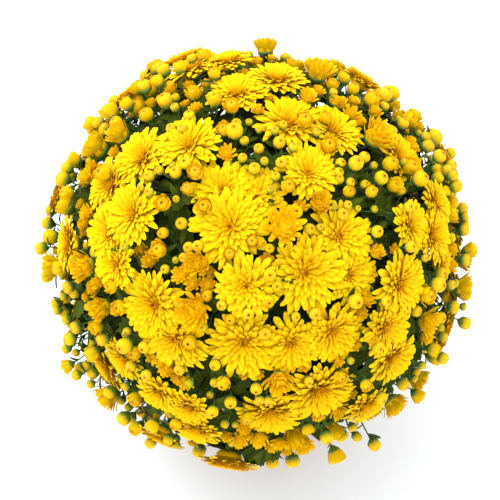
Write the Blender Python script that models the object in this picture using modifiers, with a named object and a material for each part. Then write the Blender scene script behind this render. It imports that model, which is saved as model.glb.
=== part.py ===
"""Yellow pot chrysanthemum: a ball of flowers on five leafy stems, rooted in a plain round pot.

Metres, +Z up. The origin is the centre of the pot's flat foot, which stands on the surface.
"""

import math
import random

import bmesh
import bpy
import numpy as np
from mathutils import Matrix, Vector
from mathutils.bvhtree import BVHTree

MM = 0.001

# Pot: outer radii at foot and under the rim, the rim's band, wall and floor
POT_HEIGHT = 150 * MM
POT_FOOT_RADIUS = 62.5 * MM
POT_TOP_RADIUS = 84 * MM
POT_WALL = 2 * MM
POT_FLOOR = 3 * MM
RIM_BAND = 16 * MM
RIM_PROUD = 3.5 * MM
RIM_ROUND = 1.2 * MM
POT_STEPS = 24
DRAIN_HOLES = 4
DRAIN_RADIUS = 5 * MM
DRAIN_RING = 40 * MM
HOLE_SIDES = 8

# Potting soil, clear of the pot by the fit that touching solids keep
FIT = 0.3 * MM
SOIL_TOP = 130 * MM
SOIL_ROUGHNESS = 1.8 * MM
SOIL_WAVES = (170, 210, -130)  # radians a metre
SOIL_RINGS = (14 * MM, 22 * MM)
SOIL_STEPS = 24
HOLE_DEPTH = 26 * MM
HOLE_RADIUS = 4.1 * MM

# The ball of flowers: its centre, the bud tips' radius, and the radius where flowers are seated
BALL_CENTRE = Vector((0, 0, 236 * MM))
BALL_RADIUS = 190 * MM
SEAT_RADIUS = 165 * MM
SPREAD_RADIUS = 177 * MM
LOWEST_HEAD = math.radians(125)

# The ball as the photograph shows it, in pixels of its 500 x 500 frame
PHOTO_CENTRE = (259, 254)
PHOTO_BALL_RADIUS = 220
CAMERA_ELEVATION = math.radians(48)
CAMERA_DISTANCE = 5 * BALL_RADIUS

# Flower heads in the photograph: x and y of the centre in its pixels, and the real diameter in mm
PHOTO_HEADS = (
    (226, 233, 55), (299, 269, 55), (240, 349, 53), (153, 297, 52), (339, 338, 46),
    (296, 352, 44), (228, 190, 46), (255, 200, 42), (131, 213, 45), (99, 200, 44),
    (112, 236, 41), (140, 149, 47), (203, 145, 48), (233, 91, 44), (190, 72, 38),
    (290, 112, 50), (283, 76, 44), (231, 63, 36), (348, 124, 45), (376, 134, 34),
    (309, 172, 43), (405, 148, 46), (279, 222, 34), (347, 232, 48), (434, 202, 36),
    (409, 226, 37), (430, 236, 41), (360, 277, 41), (399, 284, 46), (68, 244, 42),
    (122, 270, 38), (90, 275, 32), (93, 299, 29), (172, 343, 49), (113, 367, 38),
    (107, 397, 32), (160, 392, 35), (188, 402, 35), (199, 430, 37), (240, 275, 43),
    (207, 281, 26), (385, 324, 42), (394, 362, 42), (325, 398, 54), (365, 404, 36),
    (269, 424, 50), (297, 449, 34), (280, 382, 27), (452, 262, 35), (463, 286, 28),
    (395, 406, 29), (266, 48, 29), (318, 74, 31), (92, 146, 33), (118, 132, 28),
    (190, 285, 34), (309, 203, 24), (430, 322, 27),
)

# Neighbours hide part of each rim in the photograph, so a head is a little wider than what shows
HIDDEN_RIM = 1.05

# How heads settle: large ones and those of the photograph give way least
PHOTO_EASE = 0.35
HOMING = 0.1
STEP_SHARE = 0.7
SETTLING = 3
ROUNDS = (40, 300)

# The far side, which follows the same crowding, on a golden spiral over the whole sphere
SPIRAL_HEADS = 142
SEEN_CAP = math.radians(70)
OPEN_SHARE = 0.58
OPEN_DIAMETERS = (40 * MM, 54 * MM)
YOUNG_DIAMETERS = (26 * MM, 35 * MM)
SMALLEST_OPEN = 36 * MM
HEAD_GAP = 2.4 * MM
MOST_TILT = math.radians(4)

# Open heads that grew through each other are one solid; heads that crowd stand at other depths
BLOOM_SOLIDS = 50
MOST_IN_CLUSTER = 3
LINK_OVERLAP = 8 * MM
LINK_REACH = 0.45
CLUSTER_CLOSENESS = 0.58
DEPTHS = (-7 * MM, -3.5 * MM, 0, 3.5 * MM, 7 * MM)
LEVEL_BAND = 2 * MM
MOST_SLIP = 8 * MM
YOUNG_SLIP = 2 * MM

# Buds: spiral of places to try, how many are kept, and their size
BUD_PLACES = 620
BUD_COUNT = 36
BUD_RADII = (4.8 * MM, 6.8 * MM)
BUD_PROUD = (4 * MM, 16 * MM)
BUD_GAP = 2 * MM

# Petal relief of each kind of head: one row for each ring from seat to centre, with the radius
# and height at the petal tips, then at the clefts between them, as shares of the head's radius,
# and whether the tips stand half a petal round
LARGE_BLOOM = 50 * MM
OPEN_STEPS = (14, 16)
OPEN_RINGS = (
    (0, 0, 0, 0, 0),
    (1.0, 0.36, 0.80, 0.38, 0),
    (0.66, 0.62, 0.42, 0.52, 1),
    (0, 0.60, 0, 0.60, 0),
)
LARGE_RINGS = (
    (0, 0, 0, 0, 0),
    (1.0, 0.36, 0.80, 0.38, 0),
    (0.46, 0.46, 0.50, 0.46, 0),
    (0.68, 0.66, 0.44, 0.58, 1),
    (0, 0.60, 0, 0.60, 0),
)
YOUNG_STEPS = 10
YOUNG_RINGS = (
    (0, 0, 0, 0, 0),
    (1.0, 0.92, 0.72, 0.56, 0),
    (0.58, 1.04, 0.40, 0.86, 1),
    (0, 0.78, 0, 0.78, 0),
)
BUD_STEPS = 5
BUD_RINGS = (
    (0, 0, 0, 0, 0),
    (0.90, 0.50, 0.90, 0.50, 0),
    (0.92, 1.25, 0.92, 1.25, 0),
    (0, 1.70, 0, 1.70, 0),
)

# Leafy stems: one to a fifth of a turn, each forking to sprays inside the ball
STEMS = 5
STEM_TURN = math.radians(18)
STEM_RING = 15 * MM
STEM_RADIUS = 3.2 * MM
CROWN_RING = 22 * MM
CROWN_HEIGHT = 176 * MM
COLLAR_HEIGHT = 136 * MM
TOP_SHARE = 0.5
BRANCH_RADIUS = 1.9 * MM
STALK_RADIUS = 1.05 * MM
BUD_STALK_RADIUS = 0.8 * MM
CALYX_RADIUS = 4.6 * MM
CALYX_DEPTH = 6 * MM
SINK = 1.3 * MM
SPRAY_BASE = 92 * MM
SPRAY_TIP = 128 * MM
TIP_RADIUS = 1.1 * MM
ARCH = 0.22
FORKS = ((26, 0), (58, -19), (58, 19), (90, -22), (90, 20), (114, 0))  # from the pole, round the stem

# Leaves: edge points from tip round to base, as shares of the length along and out from the midrib
LEAF_EDGE = ((1.0, 0), (0.72, 0.27), (0.50, 0.17), (0.30, 0.33), (0.0, 0))
LEAF_MIDDLE = 0.42
LEAF_LENGTHS = (44 * MM, 56 * MM)
LEAF_THICKNESS = 1.7 * MM
LEAF_FOLD = math.radians(16)
LEAF_LEANS = (math.radians(40), math.radians(75))
LEAF_PLACES = (0.04, 0.5)
LEAF_TRIES = 36
MOST_MEETINGS = 14
WEDGE_MARGIN = 1.6 * MM

SEED = 7

YELLOW = (0.95, 0.66, 0.02, 1)
GREEN = (0.08, 0.17, 0.03, 1)
TERRACOTTA = (0.50, 0.19, 0.09, 1)
PEAT = (0.055, 0.035, 0.022, 1)


def clear_scene():
    for obj in list(bpy.data.objects):
        bpy.data.objects.remove(obj)


def material(name, colour, roughness):
    made = bpy.data.materials.new(name)
    made.use_nodes = True
    shader = made.node_tree.nodes["Principled BSDF"]
    shader.inputs["Base Color"].default_value = colour
    shader.inputs["Roughness"].default_value = roughness
    shader.inputs["Metallic"].default_value = 0
    return made


def collection(name):
    made = bpy.data.collections.new(name)
    bpy.context.scene.collection.children.link(made)
    return made


def add_object(name, mesh, home):
    obj = bpy.data.objects.new(name, mesh)
    home.objects.link(obj)
    return obj


def bake_modifiers(obj):
    """Replaces the object's mesh by the evaluated one and drops its modifiers."""
    graph = bpy.context.evaluated_depsgraph_get()
    baked = bpy.data.meshes.new_from_object(obj.evaluated_get(graph))
    obj.modifiers.clear()
    obj.data = baked


def keep_outer_shell(mesh):
    """Drops every shell but the widest: sealed hollows are filled and loose scraps go."""
    bm = bmesh.new()
    bm.from_mesh(mesh)
    left = set(bm.verts)
    shells = []
    while left:
        shell, edge = set(), [left.pop()]
        while edge:
            vert = edge.pop()
            shell.add(vert)
            near = {e.other_vert(vert) for e in vert.link_edges} & left
            left -= near
            edge += near
        shells.append(shell)
    widest = max(shells, key=lambda shell: max(v.co.x for v in shell) - min(v.co.x for v in shell))
    scraps = [v for shell in shells if shell is not widest for v in shell]
    bmesh.ops.delete(bm, geom=scraps, context="VERTS")
    bm.to_mesh(mesh)
    bm.free()


def fuse(obj, pieces):
    """Joins every object of the collection into obj with one union, then removes them."""
    union = obj.modifiers.new("grow together", "BOOLEAN")
    union.operation = "UNION"
    union.operand_type = "COLLECTION"
    union.collection = pieces
    union.solver = "MANIFOLD"
    bake_modifiers(obj)
    keep_outer_shell(obj.data)
    for piece in list(pieces.objects):
        bpy.data.objects.remove(piece)
    bpy.data.collections.remove(pieces)


# Where the flower heads stand


def photo_direction(x, y):
    """Direction from the ball's centre to the point of its flower layer seen at a pixel."""
    focal = PHOTO_BALL_RADIUS / math.tan(math.asin(BALL_RADIUS / CAMERA_DISTANCE))
    ray = Vector((x - PHOTO_CENTRE[0], PHOTO_CENTRE[1] - y, -focal)).normalized()
    eye = Vector((0, 0, CAMERA_DISTANCE))
    middle = -eye.dot(ray)
    reach = middle * middle - CAMERA_DISTANCE**2 + SPREAD_RADIUS**2
    point = eye + ray * (middle - math.sqrt(max(reach, 0)))
    tip = Matrix.Rotation(math.pi / 2 - CAMERA_ELEVATION, 3, "X")
    return (tip @ point).normalized()


def golden_spiral(count):
    """Evenly spread unit vectors, from the top of the sphere to the bottom."""
    golden_angle = math.pi * (3 - math.sqrt(5))
    for i in range(count):
        z = 1 - (2 * i + 1) / count
        across = math.sqrt(1 - z * z)
        yield Vector((across * math.cos(i * golden_angle), across * math.sin(i * golden_angle), z))


def plan_heads(draw):
    """Directions and radii of all flower heads, those of the photograph first, and how many those are."""
    directions = [photo_direction(x, y) for x, y, _ in PHOTO_HEADS]
    radii = [diameter * HIDDEN_RIM * MM / 2 for _, _, diameter in PHOTO_HEADS]
    view = Vector((0, -math.cos(CAMERA_ELEVATION), math.sin(CAMERA_ELEVATION)))
    for direction in golden_spiral(SPIRAL_HEADS):
        limits = OPEN_DIAMETERS if draw.random() < OPEN_SHARE else YOUNG_DIAMETERS
        diameter = draw.uniform(*limits)
        if direction.angle(view) > SEEN_CAP and direction.z > math.cos(LOWEST_HEAD):
            directions.append(direction)
            radii.append(diameter / 2)
    return np.array(directions), np.array(radii), len(PHOTO_HEADS)


def free_spacing(radii, depths):
    """How far apart each two heads must be: less where one slips over the other's petals."""
    is_open = 2 * radii >= SMALLEST_OPEN
    above = depths[:, None] - depths[None, :]
    slip = np.clip(np.abs(above) - LEVEL_BAND, 0, MOST_SLIP)
    both_open = is_open[:, None] & is_open[None, :]
    young_above = ~is_open[:, None] & is_open[None, :] & (above >= 0)
    young_above = young_above | young_above.T
    slip = np.where(both_open, slip, np.where(young_above, slip + YOUNG_SLIP, 0))
    return radii[:, None] + radii[None, :] + HEAD_GAP - slip


def link_spacing(a, b, radii, first):
    """Widest spacing at which a petal of head b surely runs into head a, tip to tip if it is the first."""
    if first:
        return 2 * min(radii[a], radii[b]) - LINK_OVERLAP
    return radii[b] + LINK_REACH * radii[a]


def jostle(directions, radii, depths, held, clusters, links, rounds, homing):
    """Crowded heads move apart over the sphere, those of a cluster keep together."""
    home = directions[:held].copy()
    wanted = free_spacing(radii, depths)
    for members in clusters:
        for a in members:
            for b in members:
                wanted[a, b] = CLUSTER_CLOSENESS * (radii[a] + radii[b])
    ease = 1.3 - radii / radii.max()
    ease[:held] *= PHOTO_EASE
    for _ in range(rounds):
        apart = directions[:, None] - directions[None, :]
        distance = np.linalg.norm(apart, axis=2) * SPREAD_RADIUS
        np.fill_diagonal(distance, 1)
        push = np.clip(wanted - distance, 0, None)
        for a, b, widest in links:
            pull = min(widest - distance[a, b], 0)
            push[a, b] += pull
            push[b, a] += pull
        np.fill_diagonal(push, 0)
        share = ease[:, None] / (ease[:, None] + ease[None, :])
        steps = apart / distance[:, :, None] * (push * share)[:, :, None]
        directions = directions + steps.sum(axis=1) * STEP_SHARE
        directions[:held] += (home - directions[:held]) * homing
        directions /= np.linalg.norm(directions, axis=1)[:, None]
        low = directions[:, 2] < math.cos(LOWEST_HEAD)
        across = np.linalg.norm(directions[:, :2], axis=1)
        directions[low, :2] *= (math.sin(LOWEST_HEAD) / across[low])[:, None]
        directions[low, 2] = math.cos(LOWEST_HEAD)
    return directions


def cluster_heads(directions, radii):
    """Open heads that overlap most grow together, at most three in a cluster: clusters and their links."""
    is_open = [i for i in range(len(radii)) if 2 * radii[i] >= SMALLEST_OPEN]
    found = []
    for n, a in enumerate(is_open):
        for b in is_open[n + 1 :]:
            spacing = np.linalg.norm(directions[a] - directions[b]) * SPREAD_RADIUS
            found.append((spacing - 2 * min(radii[a], radii[b]), a, b))
    clusters = [[i] for i in is_open]
    links = []
    for _, a, b in sorted(found):
        of_a = next(c for c in clusters if a in c)
        of_b = next(c for c in clusters if b in c)
        if of_a is of_b or len(of_a) + len(of_b) > MOST_IN_CLUSTER or len(clusters) <= BLOOM_SOLIDS:
            continue
        hub, leaf = (a, b) if len(of_a) > 1 else (b, a)
        first = not any(hub in link[:2] for link in links)
        links.append((hub, leaf, link_spacing(hub, leaf, radii, first)))
        of_a += of_b
        clusters = [c for c in clusters if c is not of_b]
    return clusters, links


def choose_depths(directions, radii, clusters, draw):
    """Each head, or cluster as one, steps in or out to the depth where its neighbours crowd it least."""
    alone = [[i] for i in range(len(radii)) if not any(i in c for c in clusters)]
    groups = clusters + alone
    depths = np.zeros(len(radii))
    spacing = np.linalg.norm(directions[:, None] - directions[None, :], axis=2) * SPREAD_RADIUS
    for members in groups:
        depths[members] = draw.choice(DEPTHS)
    for _ in range(SETTLING):
        for members in groups:
            others = [i for i in range(len(radii)) if i not in members]
            best = []
            for depth in DEPTHS:
                depths[members] = depth
                lack = free_spacing(radii, depths)[np.ix_(members, others)] - spacing[np.ix_(members, others)]
                best.append((float((np.clip(lack, 0, None) ** 2).sum()), draw.random(), depth))
            depths[members] = min(best)[2]
    return depths


def tilted(direction, tilt, turn):
    side = direction.orthogonal().normalized()
    side.rotate(Matrix.Rotation(turn, 3, direction))
    return (direction + side * math.tan(tilt)).normalized()


def grow_heads():
    """Every flower head: kind, direction, radius, seat, axis, the way one petal points, and its cluster."""
    draw = random.Random(SEED)
    directions, radii, held = plan_heads(draw)
    clusters, links = cluster_heads(directions, radii)
    depths = np.zeros(len(radii))
    for _ in range(SETTLING):
        depths = choose_depths(directions, radii, clusters, draw)
        directions = jostle(directions, radii, depths, held, clusters, links, ROUNDS[0], HOMING)
    directions = jostle(directions, radii, depths, held, clusters, links, ROUNDS[1], 0)
    aims = {}
    for hub, leaf, _ in links:
        aims.setdefault(hub, leaf)
        aims[leaf] = hub
    heads = []
    for i, radius in enumerate(radii):
        direction = Vector(directions[i])
        tilt, turn = draw.uniform(0, MOST_TILT), draw.uniform(0, 2 * math.pi)
        axis = direction if i in aims else tilted(direction, tilt, turn)
        toward = Vector(directions[aims[i]]) if i in aims else tilted(direction, math.radians(45), turn)
        toward = (toward - axis * toward.dot(axis)).normalized()
        cluster = next((n for n, members in enumerate(clusters) if i in members), None)
        heads.append({"kind": "young" if cluster is None else "open", "direction": direction,
                      "radius": float(radius), "seat": BALL_CENTRE + direction * (SEAT_RADIUS + depths[i]),
                      "axis": axis, "toward": toward, "cluster": cluster})
    return heads


def grow_buds(heads):
    """Round buds in the gaps between flower heads, standing a little proud of them."""
    draw = random.Random(SEED + 1)
    places = [d for d in golden_spiral(BUD_PLACES) if d.z > math.cos(LOWEST_HEAD + math.radians(4))]
    draw.shuffle(places)
    buds = []
    for direction in places:
        radius = draw.uniform(*BUD_RADII)
        proud = draw.uniform(*BUD_PROUD)
        others = heads + buds
        gaps = [(direction - o["direction"]).length * SPREAD_RADIUS - o["radius"] - radius for o in others]
        if min(gaps) > BUD_GAP and len(buds) < BUD_COUNT:
            buds.append({"kind": "bud", "direction": direction, "radius": radius,
                         "seat": BALL_CENTRE + direction * (SEAT_RADIUS + proud),
                         "axis": direction, "toward": direction.orthogonal().normalized()})
    return buds


# Solids


def placed(mesh, head):
    """Moves a head modelled upright at the origin to its seat, one petal turned the way it points."""
    across = head["axis"].cross(head["toward"])
    turn = Matrix((head["toward"], across, head["axis"])).transposed()
    mesh.transform(Matrix.Translation(head["seat"]) @ turn.to_4x4())


def flower_mesh(name, radius, steps, rings):
    """A sphere reshaped ring by ring: petal tips and the clefts between them take turns round each ring."""
    bm = bmesh.new()
    rows = len(rings) - 1
    bmesh.ops.create_uvsphere(bm, u_segments=steps, v_segments=rows, radius=1)
    for vert in bm.verts:
        row = round((1 - math.acos(max(-1, min(1, vert.co.z))) / math.pi) * rows)
        step = round(math.atan2(vert.co.y, vert.co.x) / (2 * math.pi) * steps)
        tip_across, tip_height, cleft_across, cleft_height, turned = rings[row]
        at_tip = (step + turned) % 2 == 0
        across = radius * (tip_across if at_tip else cleft_across)
        height = radius * (tip_height if at_tip else cleft_height)
        angle = 2 * math.pi * step / steps
        vert.co = Vector((across * math.cos(angle), across * math.sin(angle), height))
    mesh = bpy.data.meshes.new(name)
    bm.to_mesh(mesh)
    bm.free()
    return mesh


def head_object(head, home):
    large = 2 * head["radius"] >= LARGE_BLOOM
    steps, rings = {
        "open": (OPEN_STEPS[large], LARGE_RINGS if large else OPEN_RINGS),
        "young": (YOUNG_STEPS, YOUNG_RINGS),
        "bud": (BUD_STEPS, BUD_RINGS),
    }[head["kind"]]
    mesh = flower_mesh(head["kind"], head["radius"], steps, rings)
    placed(mesh, head)
    return add_object(head["kind"], mesh, home)


def polygon_guide(name, sides, home):
    """The section of a stem: a polygon of unit radius, which each point's own radius scales."""
    curve = bpy.data.curves.new(name, "CURVE")
    curve.dimensions = "2D"
    spline = curve.splines.new("POLY")
    spline.points.add(sides - 1)
    for i, point in enumerate(spline.points):
        angle = 2 * math.pi * i / sides
        point.co = (math.cos(angle), math.sin(angle), 0, 1)
    spline.use_cyclic_u = True
    guide = add_object(name, curve, home)
    guide.hide_render = True
    guide.display_type = "WIRE"
    return guide


def stem_curve(name, points, radii, section, home):
    """A stem through the points, with its own radius at each."""
    curve = bpy.data.curves.new(name, "CURVE")
    curve.dimensions = "3D"
    curve.bevel_mode = "OBJECT"
    curve.bevel_object = section
    curve.use_fill_caps = True
    spline = curve.splines.new("POLY")
    spline.points.add(len(points) - 1)
    for point, place, radius in zip(spline.points, points, radii):
        point.co = (*place, 1)
        point.radius = radius
    return add_object(name, curve, home)


def curves_to_meshes(home):
    """Turns every curve of the collection into a closed mesh, its caps welded on."""
    bpy.context.view_layer.update()
    graph = bpy.context.evaluated_depsgraph_get()
    curves = [obj for obj in home.objects if obj.type == "CURVE"]
    for obj in curves:
        mesh = bpy.data.meshes.new_from_object(obj.evaluated_get(graph))
        bm = bmesh.new()
        bm.from_mesh(mesh)
        bmesh.ops.remove_doubles(bm, verts=bm.verts, dist=0.01 * MM)
        bmesh.ops.recalc_face_normals(bm, faces=bm.faces)
        bm.to_mesh(mesh)
        bm.free()
        name = obj.name
        bpy.data.objects.remove(obj)
        add_object(name, mesh, home)


def arc(start, middle, end, steps):
    """Points of a quadratic curve that leaves start for middle and arrives at end."""
    shares = [i / steps for i in range(steps + 1)]
    return [start * (1 - t) ** 2 + middle * (2 * t * (1 - t)) + end * t**2 for t in shares]


def polar(radius, from_pole, round_about):
    """A point of the ball at that distance from its centre."""
    across = radius * math.sin(from_pole)
    return BALL_CENTRE + Vector((
        across * math.cos(round_about), across * math.sin(round_about), radius * math.cos(from_pole)))


def leaf_mesh(length, foot, direction, outward):
    """A lobed blade, thin at its edge and folded at the midrib: a sphere of two rings pressed flat."""
    bm = bmesh.new()
    steps = 2 * (len(LEAF_EDGE) - 1)
    bmesh.ops.create_uvsphere(bm, u_segments=steps, v_segments=2, radius=1)
    for vert in bm.verts:
        if abs(vert.co.z) > 0.5:
            vert.co = Vector((LEAF_MIDDLE * length, 0, math.copysign(LEAF_THICKNESS / 2, vert.co.z)))
            continue
        step = round(math.atan2(vert.co.y, vert.co.x) / (2 * math.pi) * steps)
        along, out = LEAF_EDGE[abs(step)]
        wide = math.copysign(length * out * math.cos(LEAF_FOLD), step)
        vert.co = Vector((length * along, wide, length * out * math.sin(LEAF_FOLD)))
    side = outward.cross(direction).normalized()
    turn = Matrix((direction, side, direction.cross(side))).transposed()
    bm.transform(Matrix.Translation(foot - direction * BRANCH_RADIUS) @ turn.to_4x4())
    mesh = bpy.data.meshes.new("leaf")
    bm.to_mesh(mesh)
    bm.free()
    return mesh


def inside_wedge(point, stem, margin):
    """True where a point is in the stem's fifth of the ball, at least margin from both of its planes."""
    centre = STEM_TURN + 2 * math.pi * stem / STEMS
    for side in (-1, 1):
        plane = centre + side * math.pi / STEMS
        outward = Vector((-math.sin(plane), math.cos(plane), 0)) * side
        if point.dot(outward) > -margin:
            return False
    return True


def stem_of(point):
    """Which stem's fifth of the ball a point is in."""
    turn = math.atan2(point.y, point.x) - STEM_TURN + math.pi / STEMS
    return int(turn % (2 * math.pi) / (2 * math.pi / STEMS)) % STEMS


def spray_lines(stem):
    """The straight outer part of each branch, from base to tip, which bears the stalks."""
    centre = STEM_TURN + 2 * math.pi * stem / STEMS
    places = [(math.radians(down), centre + math.radians(aside)) for down, aside in FORKS]
    return [(polar(SPRAY_BASE, *place), polar(SPRAY_TIP, *place)) for place in places]


def surface_tree(meshes):
    """Search tree of the meshes' faces, to find where they run into each other."""
    points, faces = [], []
    for mesh in meshes:
        faces += [[len(points) + i for i in face.vertices] for face in mesh.polygons]
        points += [vert.co for vert in mesh.vertices]
    return BVHTree.FromPolygons(points, faces)


def add_leaves(stem, places, draw, home):
    """A leaf at each place, leaning the way it meets fewest stalks and stays in the stem's wedge."""
    for place in places:
        grown = surface_tree([obj.data for obj in home.objects])
        outward = (place - BALL_CENTRE).normalized()
        length = draw.uniform(*LEAF_LENGTHS)
        start = draw.uniform(0, 2 * math.pi)
        choices = []
        for i in range(LEAF_TRIES):
            side = outward.orthogonal().normalized()
            side.rotate(Matrix.Rotation(start + 2 * math.pi * i / LEAF_TRIES, 3, outward))
            lean = draw.uniform(*LEAF_LEANS)
            direction = (outward * math.cos(lean) + side * math.sin(lean)).normalized()
            mesh = leaf_mesh(length, place, direction, outward)
            if all(inside_wedge(vert.co, stem, WEDGE_MARGIN) for vert in mesh.vertices):
                choices.append((len(grown.overlap(surface_tree([mesh]))), i, mesh))
        if choices and min(choices)[0] <= MOST_MEETINGS:
            add_object("leaf", min(choices)[2], home)


def branch_path(crown, top, spray, number):
    """A branch from the crown, or for the first from the stem's top, arching out to its spray."""
    if number == 0:
        return [top, spray[0]]
    lift = Vector((0, 0, ARCH * (spray[0] - crown).length))
    return arc(crown, (crown + spray[0]) / 2 + lift, spray[0], 2)


def hang_head(head, foot, section, pieces):
    """A head's stalk from its foot on the spray, widened to a calyx under an open bloom."""
    radius = BUD_STALK_RADIUS if head["kind"] == "bud" else STALK_RADIUS
    if head["kind"] == "open":
        neck = head["seat"] - head["axis"] * CALYX_DEPTH
        end = head["seat"] - head["axis"] * FIT
        stem_curve("stalk", [foot, neck, end], [radius, radius, CALYX_RADIUS], section, pieces)
    else:
        end = head["seat"] + head["axis"] * SINK
        stem_curve("stalk", [foot, end], [radius, radius], section, pieces)
        head_object(head, pieces)


def build_leafy_stem(stem, heads, section, look, home):
    """One rooted stem with its branches, leaves, calyxes, buds and half-open heads, fused into one body."""
    name = f"leafy_stem_{stem + 1}"
    draw = random.Random(SEED + 10 + stem)
    pieces = collection(name + "_pieces")
    centre = STEM_TURN + 2 * math.pi * stem / STEMS
    out = Vector((math.cos(centre), math.sin(centre), 0))
    root = out * STEM_RING + Vector((0, 0, SOIL_TOP - HOLE_DEPTH + 2 * FIT))
    collar = out * STEM_RING + Vector((0, 0, COLLAR_HEIGHT))
    crown = out * CROWN_RING + Vector((0, 0, CROWN_HEIGHT))
    sprays = spray_lines(stem)
    borne = [[] for _ in sprays]
    for head in (h for h in heads if stem_of(h["direction"]) == stem):
        angles = [(tip - BALL_CENTRE).angle(head["direction"]) for _, tip in sprays]
        borne[angles.index(min(angles))].append((min(angles), len(borne), head))
    top = crown + (sprays[0][0] - crown) * TOP_SHARE
    stem_curve("trunk", [root, collar, crown, top],
               [STEM_RADIUS, STEM_RADIUS, STEM_RADIUS, BRANCH_RADIUS], section, pieces)
    places = []
    for i, (base, tip) in enumerate(sprays):
        path = branch_path(crown, top, (base, tip), i)
        stem_curve("branch", [*path, tip], [BRANCH_RADIUS] * len(path) + [TIP_RADIUS], section, pieces)
        places += path[1:-1] + [base + (tip - base) * share for share in LEAF_PLACES]
        for n, (_, _, head) in enumerate(sorted(borne[i], key=lambda item: -item[0])):
            foot = base + (tip - base) * ((n + 1) / (len(borne[i]) + 0.3))
            hang_head(head, foot, section, pieces)
    curves_to_meshes(pieces)
    add_leaves(stem, places, draw, pieces)
    trunk = next(obj for obj in pieces.objects if obj.name.startswith("trunk"))
    pieces.objects.unlink(trunk)
    home.objects.link(trunk)
    trunk.name = name
    fuse(trunk, pieces)
    trunk.data.name = name
    trunk.data.materials.clear()
    trunk.data.materials.append(look)


def build_blooms(heads, look, home):
    """The open flower heads: one solid for each, or for a cluster whose petals grew through each other."""
    groups = {}
    for head in heads:
        if head["kind"] == "open":
            groups.setdefault(head["cluster"], []).append(head)
    for number, members in enumerate(groups.values(), 1):
        bloom = head_object(members[0], home)
        bloom.name = f"bloom_{number:02d}" if len(members) == 1 else f"blooms_{number:02d}"
        if len(members) > 1:
            pieces = collection(bloom.name + "_pieces")
            for head in members[1:]:
                head_object(head, pieces)
            fuse(bloom, pieces)
        bloom.data.name = bloom.name
        bloom.data.materials.clear()
        bloom.data.materials.append(look)


def drill(obj, name, count, turn, ring, height, radius, depth, cutters):
    """Cuts a ring of upright round holes, centred on that height, out of the object."""
    bm = bmesh.new()
    for i in range(count):
        angle = turn + 2 * math.pi * i / count
        place = Vector((ring * math.cos(angle), ring * math.sin(angle), height))
        bmesh.ops.create_cone(bm, cap_ends=True, segments=HOLE_SIDES, radius1=radius, radius2=radius,
                              depth=depth, matrix=Matrix.Translation(place))
    mesh = bpy.data.meshes.new(name)
    bm.to_mesh(mesh)
    bm.free()
    cutter = add_object(name, mesh, cutters)
    cutter.hide_render = True
    cutter.display_type = "WIRE"
    cut = obj.modifiers.new(name, "BOOLEAN")
    cut.operation = "DIFFERENCE"
    cut.object = cutter


def build_pot(look, home, cutters):
    """A turned shell with a banded rim and a flat foot, and drain holes through its floor."""
    rim_radius = POT_TOP_RADIUS + RIM_PROUD
    band_foot = POT_HEIGHT - RIM_BAND
    slope = (POT_TOP_RADIUS - POT_FOOT_RADIUS) / POT_HEIGHT
    inner_foot = POT_FOOT_RADIUS + slope * POT_FLOOR - POT_WALL
    profile = (
        (POT_TOP_RADIUS - POT_WALL, POT_HEIGHT - RIM_ROUND),
        (POT_TOP_RADIUS - POT_WALL + RIM_ROUND, POT_HEIGHT),
        (rim_radius - RIM_ROUND, POT_HEIGHT),
        (rim_radius, POT_HEIGHT - RIM_ROUND),
        (rim_radius - RIM_ROUND, band_foot),
        (POT_FOOT_RADIUS + slope * band_foot, band_foot),
        (POT_FOOT_RADIUS + slope * RIM_ROUND, RIM_ROUND),
        (POT_FOOT_RADIUS - RIM_ROUND, 0),
        (0, 0),
    )
    inside = ((0, POT_FLOOR), (inner_foot, POT_FLOOR))
    points = [Vector((x, 0, z)) for x, z in (*profile, *inside)]
    mesh = bpy.data.meshes.new("pot")
    edges = [(i, i + 1) for i in range(len(points) - 1) if i != len(profile) - 1]
    mesh.from_pydata(points, [*edges, (len(points) - 1, 0)], [])
    pot = add_object("pot", mesh, home)
    screw = pot.modifiers.new("turned", "SCREW")
    screw.steps = screw.render_steps = POT_STEPS
    screw.use_merge_vertices = True
    screw.merge_threshold = 0.01 * MM
    screw.use_normal_calculate = True
    drill(pot, "drain_holes", DRAIN_HOLES, 0, DRAIN_RING, POT_FLOOR / 2, DRAIN_RADIUS, 3 * POT_FLOOR, cutters)
    pot.data.materials.append(look)


def build_soil(look, home, cutters):
    """The pot's fill: a plug with an uneven top and one blind hole for each stem."""
    slope = (POT_TOP_RADIUS - POT_FOOT_RADIUS) / POT_HEIGHT
    clear = POT_WALL + 2 * FIT
    low = POT_FLOOR + FIT
    low_radius = POT_FOOT_RADIUS + slope * low - clear
    high_radius = POT_FOOT_RADIUS + slope * SOIL_TOP - clear
    bm = bmesh.new()
    bmesh.ops.create_cone(bm, cap_ends=True, segments=SOIL_STEPS, radius1=low_radius,
                          radius2=high_radius, depth=SOIL_TOP - low,
                          matrix=Matrix.Translation((0, 0, (low + SOIL_TOP) / 2)))
    top = max(bm.faces, key=lambda face: face.calc_center_median().z)
    for width in SOIL_RINGS:
        bmesh.ops.inset_region(bm, faces=[top], thickness=width)
    for vert in top.verts:
        vert.co.z += SOIL_ROUGHNESS
    rim_edge = high_radius * math.cos(math.pi / SOIL_STEPS)
    for vert in (v for v in bm.verts if v.co.z >= SOIL_TOP - MM and v.co.xy.length < rim_edge):
        x, y, _ = vert.co
        waves = math.sin(SOIL_WAVES[0] * x + 1) + math.sin(SOIL_WAVES[1] * y + SOIL_WAVES[2] * x)
        vert.co.z += SOIL_ROUGHNESS * waves / 2
    bmesh.ops.poke(bm, faces=[top])
    mesh = bpy.data.meshes.new("soil")
    bm.to_mesh(mesh)
    bm.free()
    soil = add_object("soil", mesh, home)
    drill(soil, "stem_holes", STEMS, STEM_TURN, STEM_RING, SOIL_TOP, HOLE_RADIUS, 2 * HOLE_DEPTH, cutters)
    soil.data.materials.append(look)


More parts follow.
